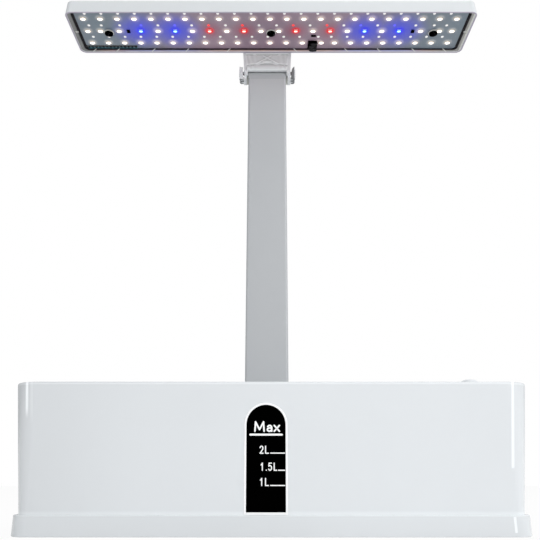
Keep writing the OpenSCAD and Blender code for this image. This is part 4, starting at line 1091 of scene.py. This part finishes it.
# %% Bare corner of the board
CORNER_X = -137
PAD_PITCH = 2.1
corner = board.ramp(board_x, CORNER_X * MM, (CORNER_X - 2) * MM)
teal = board.times(board.ramp(board_y, 17.0 * MM, 17.6 * MM), corner)
board_colour_and_light = board.mix(board.times(teal, 0.8), board_colour_and_light, linear(34, 96, 106))
pad_row = board.times(board.ramp(board_y, 16.2 * MM, 16.6 * MM),
                      board.ramp(board_y, 19.8 * MM, 20.2 * MM, 1.0, 0.0))
pads = board.math("FRACT", board.times(board_x, 1 / (PAD_PITCH * MM)))
pads = board.times(board.ramp(pads, 0.12, 0.26), pad_row, corner)
board_colour_and_light = board.mix(pads, board_colour_and_light, linear(4, 8, 12))
board.feed(board_colour_and_light, "Base Color")
print("corner from x =", CORNER_X)

# %% [markdown]
# ## Glow of the board
# The halos also get a little painted glow, each in the colour of its diode, standing for the light
# that falls on the board from close by. The glow is weak, so that the diodes stay the brightest
# things on the board.

# %% Glow of the board
ANY = 0.001
# painted glow of the halos, in the colour of each diode
halo_light_colour = board.mix(board.math("GREATER_THAN", red_halo, ANY), linear(40, 50, 255),
                 linear(255, 20, 24))
halo_light_colour = board.mix(board.math("GREATER_THAN", white_halo, ANY), halo_light_colour, linear(255, 240, 226))
board.feed(halo_light_colour, "Emission Color")
strength = board.plus(board.times(board.math("MAXIMUM", blue_halo, red_halo), 0.35),
                      board.times(white_halo, 0.24), board.times(blue_reach, 0.05))
board.feed(strength, "Emission Strength")
board.feed(board.ramp(board.noise(400, 3), 0.3, 0.7, 0.34, 0.46), "Roughness")
board.bump(board.noise(900, 3), 0.08, 0.0001)
dress(board.material, 0, "led_board")
print("board finish:", len(board.nodes), "nodes")

# %% [markdown]
# ## Clear cover
# A clear sheet closes the lamp. Real glass shading would need light to pass through two faces, so
# the sheet is transparent with a thin gloss over it, stronger where it is seen edge on. Smudges
# make the gloss uneven.

# %% Clear cover
COVER_IOR = 1.045
cover = Recipe("clear_cover")
clear = cover.nodes.new("ShaderNodeBsdfTransparent")
gloss = cover.nodes.new("ShaderNodeBsdfGlossy")
smudge = cover.ramp(cover.noise(45, 4), 0.3, 0.7, 0.03, 0.09)
cover.links.new(smudge, gloss.inputs["Roughness"])
edge_on = cover.nodes.new("ShaderNodeFresnel")
edge_on.inputs["IOR"].default_value = COVER_IOR
both = cover.nodes.new("ShaderNodeMixShader")
behind = cover.nodes.new("ShaderNodeNewGeometry").outputs["Backfacing"]
outside = cover.minus(1.0, behind)
cover.links.new(cover.times(edge_on.outputs[0], outside), both.inputs[0])
cover.links.new(clear.outputs[0], both.inputs[1])
cover.links.new(gloss.outputs[0], both.inputs[2])
cover.nodes.remove(cover.shader)
cover.links.new(both.outputs[0], cover.nodes["Material Output"].inputs["Surface"])
dress(cover.material, 0, "lamp_cover")
print("cover finish:", len(cover.nodes), "nodes")

# %% [markdown]
# ## Glints
# Each diode is seen a second time as a small dim spot in front of it, because its light bounces
# between the clear sheet and the board. These are painted reflections, drawn as thin glowing discs
# on the board.

# %% Glints
GLINT_Z = 465.3
# how far forward the second spot lies in each row, and how it drifts along the lamp
STEP_BY_ROW = {-1: 6.9, 0: 8.0, 1: 8.8}
DRIFT, DRIFT_FROM = 0.028, -76


def glints(name, spots, light, radius=1.4):
    """Thin glowing discs that paint the dim reflected second spot of every diode, in front of it.
    """
    mesh = bmesh.new()
    for x, y in spots:
        cx = x - DRIFT * (x - DRIFT_FROM)
        cy = y - STEP_BY_ROW[round((y - LAMP_Y) / ROW_PITCH)]
        mesh.faces.new(circle(mesh, cx, cy, GLINT_Z, radius, 12, deep=1.1))
    piece = make_piece(name, mesh, light)
    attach(piece, "lamp")


# painted reflections of the diodes
white_glint = glowing("white_glint", (0.80, 0.78, 0.76), (0.70, 0.67, 0.66), 0.62)
red_glint = glowing("red_glint", (0.95, 0.05, 0.03), (0.8, 0.03, 0.03), 0.8)
blue_glint = glowing("blue_glint", (0.10, 0.12, 0.95), (0.08, 0.08, 0.8), 0.6)
glints("white_glints", white_spots, white_glint)
glints("red_glints", red_spots, red_glint)
glints("blue_glints", blue_spots, blue_glint)
print("glints:", len(white_spots + red_spots + blue_spots))

# %% [markdown]
# ## Screw rings
# Each of the lamp's screws clamps the board through a thin white ring, dished so that the screw's
# head sits in it. The ring is a ruled band: four circles, each joined to the next.

# %% Screw rings
SCREW_PITCH, SCREW_BACK = 162.3, 2.7
SCREWS = [(x * SCREW_PITCH, LAMP_Y + SCREW_BACK) for x in (-1, 0, 1)]
# radius and height of the four circles, from the screw outwards
DISH = ((2.7, 465.36), (2.8, 464.7), (4.75, 464.7), (4.9, 465.0))
rings = bmesh.new()
for cx, cy in SCREWS:
    loops = [circle(rings, cx, cy, z, radius, 32) for radius, z in DISH]
    for small, large in zip(loops, loops[1:]):
        bridge(rings, small, large)
screw_rings = make_piece("screw_rings", rings, package_white)
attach(screw_rings, "lamp")
print("screw rings:", len(SCREWS))

# %% [markdown]
# ## Squeeze levers
# A lever stands on each side of the bracket. Its foot lies in shade between the lever and the
# bracket, so the finish has painted shade towards the foot and on faces that look down; on the
# right lever the pocket behind the plate has painted shade as well. The left lever also shows the
# flat front of its flange, a thin panel.

# %% Squeeze levers
MAST_X = -4.0
LEVER_FOOT, LEVER_CLEAR = 431.2, 432.6
FLANGE_IN, FLANGE_OUT = 25.2, 28.6
FLANGE_LOW, FLANGE_STEP, FLANGE_HIGH = 432.0, 432.6, 446.2
FLANGE_FRONT, FLANGE_REAR = 27.1, 27.7


def lever_finish(name, shade_out):
    """Light grey, with painted shade at the foot, on faces that look down, and within shade_out of
    the mast's middle.
    """
    recipe = Recipe(name, Roughness=0.36)
    across, _, height = recipe.axes()
    _, _, upward = recipe.axes(recipe.facing)
    off = recipe.math("ABSOLUTE", recipe.minus(across, MAST_X * MM))
    above = recipe.ramp(height, LEVER_FOOT * MM, LEVER_CLEAR * MM)
    outside = recipe.ramp(off, (shade_out - 0.3) * MM, shade_out * MM)
    # painted shade at the foot, on faces that look down, and near the mast
    light = recipe.times(above, outside, recipe.ramp(upward, -0.8, -0.3))
    recipe.feed(recipe.mix(light, linear(122, 125, 126), linear(228, 231, 233)), "Base Color")
    recipe.bump(recipe.noise(700, 3), 0.05, 0.0002)
    return recipe.material


left_grey = lever_finish("lever_left_grey", 23.8)
dress(left_grey, 0.35, "lever_left")
dress(lever_finish("lever_right_grey", 28.0), 0.35, "lever_right")
flange = bmesh.new()
outline = [(FLANGE_IN, FLANGE_LOW), (FLANGE_OUT, FLANGE_LOW), (FLANGE_OUT + 0.2, FLANGE_STEP),
           (FLANGE_OUT + 0.2, FLANGE_HIGH), (FLANGE_IN, FLANGE_HIGH)]
front, rear = ([flange.verts.new(Vector((MAST_X - x, y, z)) * MM) for x, z in outline]
               for y in (FLANGE_FRONT, FLANGE_REAR))
flange.faces.new(front)
flange.faces.new(rear[::-1])
bridge(flange, rear, front)
lever_panel = make_piece("lever_left_panel", flange, left_grey)
soft = lever_panel.modifiers.new("soft edges", "BEVEL")
soft.width = 0.2 * MM
soft.segments = 2
lever_panel.modifiers.move(1, 0)
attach(lever_panel, "lever_left")
print("levers dressed")

# %% [markdown]
# ## Strain relief of the lamp's lead
# Where the lead enters the lamp it passes through a black ribbed sleeve, which keeps it from
# bending sharply. Sections across the sleeve swell and shrink in turn, and the loft through them
# makes the ribs. The sleeve lies on the board and runs out over the rear wall.

# %% Strain relief
RELIEF_X = 42.6
RELIEF_FRONT, RELIEF_REAR = 10.4, 26.0
RELIEF_Z = 464.3
RELIEF_RIBS = 4
SECTIONS = 8 * RELIEF_RIBS
ROUND = [2 * math.pi * k / 20 for k in range(20)]
# half width and half height of the sleeve in a groove, and how much a rib adds
SLEEVE_WIDE, SLEEVE_TALL = (3.3, 1.7), (1.1, 0.4)
relief = bmesh.new()
hoops = []
for step in range(SECTIONS + 1):
    t = step / SECTIONS
    swell = 0.5 - 0.5 * math.cos(2 * math.pi * RELIEF_RIBS * t)
    close = math.sqrt(max(0.0, 1 - (2 * t - 1) ** 8))
    half = (SLEEVE_WIDE[0] + SLEEVE_WIDE[1] * swell) * (0.55 + 0.45 * close)
    tall = (SLEEVE_TALL[0] + SLEEVE_TALL[1] * swell) * (0.45 + 0.55 * close)
    hoops.append([relief.verts.new(Vector((
        RELIEF_X + 0.8 * math.sin(9 * t) + half * math.cos(turn),
        RELIEF_FRONT + (RELIEF_REAR - RELIEF_FRONT) * t,
        RELIEF_Z - 1.0 * t ** 3 + tall * math.sin(turn))) * MM) for turn in ROUND])
for near, far in zip(hoops, hoops[1:]):
    bridge(relief, near, far)
relief.faces.new(hoops[0][::-1])
relief.faces.new(hoops[-1])
sleeve = make_piece("lead_sleeve", relief, print_ink("sleeve_black", linear(6, 4, 9), 0.6))
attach(sleeve, "lamp")
print("sleeve:", len(sleeve.data.polygons), "faces")

# %% [markdown]
# ## Face of the lamp's bracket
# The bracket's front plate is pressed with a shallow relief: two ribs that cross under the top
# edge, a lens-shaped swelling between their lower arms, and a rolled lip along the bottom. It
# could be sculpted, but a grid of points pushed out by a sum of smooth bumps keeps each feature
# a line of its own, with its own place and width.

# %% Bracket face
FACE_HALF = 20.6
FACE_WIDENS = 1.6
FACE_LOW, FACE_HIGH = 440.4, 461.2
FACE_Y = 24.7
ACROSS, UP = 84, 56


def bump_of(distance, width):
    """A smooth bump: 1 on a line, falling to nothing a few widths from it."""
    return math.exp(-(distance / width) ** 2)


def face_relief(u, v):
    """How far the plate stands out, in millimetres, u across from -1 to 1 and v up from 0 to 1."""
    lip_top = 0.22 + 0.09 * (1 - u * u)
    rolled = math.sqrt(max(0.0, 1 - ((v - 0.5 * lip_top) / (0.5 * lip_top)) ** 2))
    lens = max(0.0, 1 - (u / 0.27) ** 2 - ((v - 0.50) / 0.08) ** 2)
    arm = bump_of(v - (0.72 - 0.60 * abs(u)), 0.05) * max(0.0, 1 - (u / 0.62) ** 4)
    fork = bump_of(v - (0.72 + 0.70 * abs(u)), 0.045) * max(0.0, 1 - (u / 0.24) ** 4)
    hollow = bump_of(v - (lip_top + 0.07), 0.05)
    top = bump_of(v - 0.985, 0.025)
    under_top = bump_of(v - 0.92, 0.03)
    folds = 0.2 * math.sin(26 * u + 5 * v) * max(0.0, abs(u) - 0.35)
    return 1.6 * rolled + 0.8 * lens + 0.5 * arm + 0.45 * fork - 0.7 * hollow \
        + 0.6 * top - 0.5 * under_top + folds


plate = bmesh.new()
rows = []
for j in range(UP + 1):
    v = j / UP
    row = []
    for i in range(ACROSS + 1):
        u = 2 * i / ACROSS - 1
        half = FACE_HALF + FACE_WIDENS * v
        row.append(plate.verts.new(Vector((
            MAST_X + half * u, FACE_Y - face_relief(u, v),
            FACE_LOW + (FACE_HIGH - FACE_LOW) * v)) * MM))
    rows.append(row)
for low, high in zip(rows, rows[1:]):
    for i in range(ACROSS):
        plate.faces.new((low[i], low[i + 1], high[i + 1], high[i]))
edge_loop = rows[0] + [row[-1] for row in rows[1:]] + rows[-1][-2::-1] \
    + [row[0] for row in rows[-2:0:-1]]
back = [plate.verts.new((vertex.co.x, (FACE_Y + 0.5) * MM, vertex.co.z)) for vertex in edge_loop]
bridge(plate, edge_loop, back)
print("plate:", len(plate.faces), "faces")

# %% [markdown]
# ## Stops and finish of the bracket
# Under each end of the lip a small square stop steadies the mast's head. The finish is painted
# lighter on ridges and darker in hollows, as painted shade in the folds of the pressed relief, and
# the mesh's own pointiness tells which is which.

# %% Stops and finish of the bracket
STOP_SIZE = Vector((2.9, 5.5, 3.6))
STOP_MIDDLE = Vector((21.45, 26.6, 438.3))
for side in (-1, 1):
    stop = bmesh.ops.create_cube(plate, size=1.0)["verts"]
    bmesh.ops.scale(plate, verts=stop, vec=STOP_SIZE * MM)
    place = Vector((MAST_X + side * STOP_MIDDLE.x, STOP_MIDDLE.y, STOP_MIDDLE.z))
    bmesh.ops.translate(plate, verts=stop, vec=place * MM)
wear_and_shade = Recipe("pressed_grey", Roughness=0.38)
folds = wear_and_shade.nodes.new("ShaderNodeNewGeometry").outputs["Pointiness"]
# painted light on ridges and painted shade in hollows
raised = wear_and_shade.ramp(folds, 0.47, 0.53)
wear_and_shade.feed(wear_and_shade.mix(raised, linear(188, 190, 191), linear(240, 242, 243)), "Base Color")
wear_and_shade.bump(wear_and_shade.noise(700, 3), 0.05, 0.0002)
bracket_face = make_piece("bracket_face", plate, wear_and_shade.material, angle=50)
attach(bracket_face, "lamp")
print("bracket face:", len(bracket_face.data.polygons), "faces")

# %% [markdown]
# ## Studio floor
# The garden stands on a pale floor in a white room. To the camera the floor is almost pure white,
# mixed with a little matt surface, so that the soft shadow under the tray still shows. To every
# other ray it is plain matt white, so it lights the piece no more than a real floor would.

# %% Studio floor
FLOOR_HALF = 4.0
FLOOR_WHITE = 0.94
FLOOR_MATT = (0.88, 0.88, 0.88, 1)

floor_mesh = bmesh.new()
floor_mesh.faces.new([floor_mesh.verts.new((x * FLOOR_HALF, y * FLOOR_HALF, 0))
                      for x, y in ((-1, -1), (1, -1), (1, 1), (-1, 1))])
floor_recipe = Recipe("studio_floor")
floor_recipe.nodes.remove(floor_recipe.shader)
paths = floor_recipe.nodes.new("ShaderNodeLightPath")
seen = floor_recipe.math("MAXIMUM", paths.outputs["Is Camera Ray"], paths.outputs["Is Glossy Ray"])
seen = floor_recipe.math("MAXIMUM", seen, paths.outputs["Is Transmission Ray"])
matt = floor_recipe.nodes.new("ShaderNodeBsdfDiffuse")
matt.inputs["Color"].default_value = FLOOR_MATT
white_glow = floor_recipe.nodes.new("ShaderNodeEmission")
mixed = floor_recipe.nodes.new("ShaderNodeMixShader")
floor_recipe.links.new(floor_recipe.times(seen, FLOOR_WHITE), mixed.inputs[0])
floor_recipe.links.new(matt.outputs[0], mixed.inputs[1])
floor_recipe.links.new(white_glow.outputs[0], mixed.inputs[2])
floor_recipe.links.new(mixed.outputs[0], floor_recipe.nodes["Material Output"].inputs["Surface"])
floor = make_piece("studio_floor", floor_mesh, floor_recipe.material)
print("floor:", 2 * FLOOR_HALF, "m across")

# %% [markdown]
# ## Studio light
# The room is brighter on the right than on the left, which turns the tank's flat front into a
# slow gradient and darkens its left end. One large soft lamp stands to the right, a narrow one to
# the left puts a streak on the rounded corner, and one hangs above.

# %% Studio light
ROOM_LEFT, ROOM_RIGHT = 0.38, 0.86

world = bpy.data.worlds.new("studio")
bpy.context.scene.world = world
world.use_nodes = True
sky = world.node_tree.nodes
sky_links = world.node_tree.links
room = sky["Background"]
room.inputs["Color"].default_value = (0.96, 0.98, 1.0, 1)
way = sky.new("ShaderNodeSeparateXYZ")
sky_links.new(sky.new("ShaderNodeTexCoord").outputs["Generated"], way.inputs[0])
across = sky.new("ShaderNodeMapRange")
for socket, value in zip(across.inputs, (0, -0.9, 0.9, ROOM_LEFT, ROOM_RIGHT)):
    socket.default_value = value
sky_links.new(way.outputs["X"], across.inputs["Value"])
sky_links.new(across.outputs[0], room.inputs["Strength"])
white = sky.new("ShaderNodeBackground")
white.inputs["Color"].default_value = (1, 1, 1, 1)
sky_paths = sky.new("ShaderNodeLightPath")
either = sky.new("ShaderNodeMath")
either.operation = "MAXIMUM"
sky_links.new(sky_paths.outputs["Is Camera Ray"], either.inputs[0])
sky_links.new(sky_paths.outputs["Is Transmission Ray"], either.inputs[1])
sky_mix = sky.new("ShaderNodeMixShader")
sky_links.new(either.outputs[0], sky_mix.inputs[0])
sky_links.new(room.outputs[0], sky_mix.inputs[1])
sky_links.new(white.outputs[0], sky_mix.inputs[2])
sky_links.new(sky_mix.outputs[0], sky["World Output"].inputs["Surface"])


def softbox(name, place, width, height, power):
    """A rectangular studio lamp at a place, turned towards the middle of the garden."""
    light = bpy.data.lights.new(name, "AREA")
    light.shape = "RECTANGLE"
    light.size = width
    light.size_y = height
    light.energy = power
    lamp = bpy.data.objects.new(name, light)
    lamp.location = place
    aim = Vector((0, 0, 0.2)) - Vector(place)
    lamp.rotation_euler = aim.to_track_quat("-Z", "Y").to_euler()
    bpy.context.scene.collection.objects.link(lamp)


softbox("key_right", (1.1, -1.6, 0.9), 0.9, 1.2, 11.5)
softbox("fill_left", (-1.4, -0.7, 0.5), 0.25, 1.1, 1.8)
softbox("top", (0.3, -0.2, 1.9), 1.2, 1.0, 7.5)
bpy.context.scene.view_settings.view_transform = "Standard"
print("lamps:", len(bpy.data.lights))
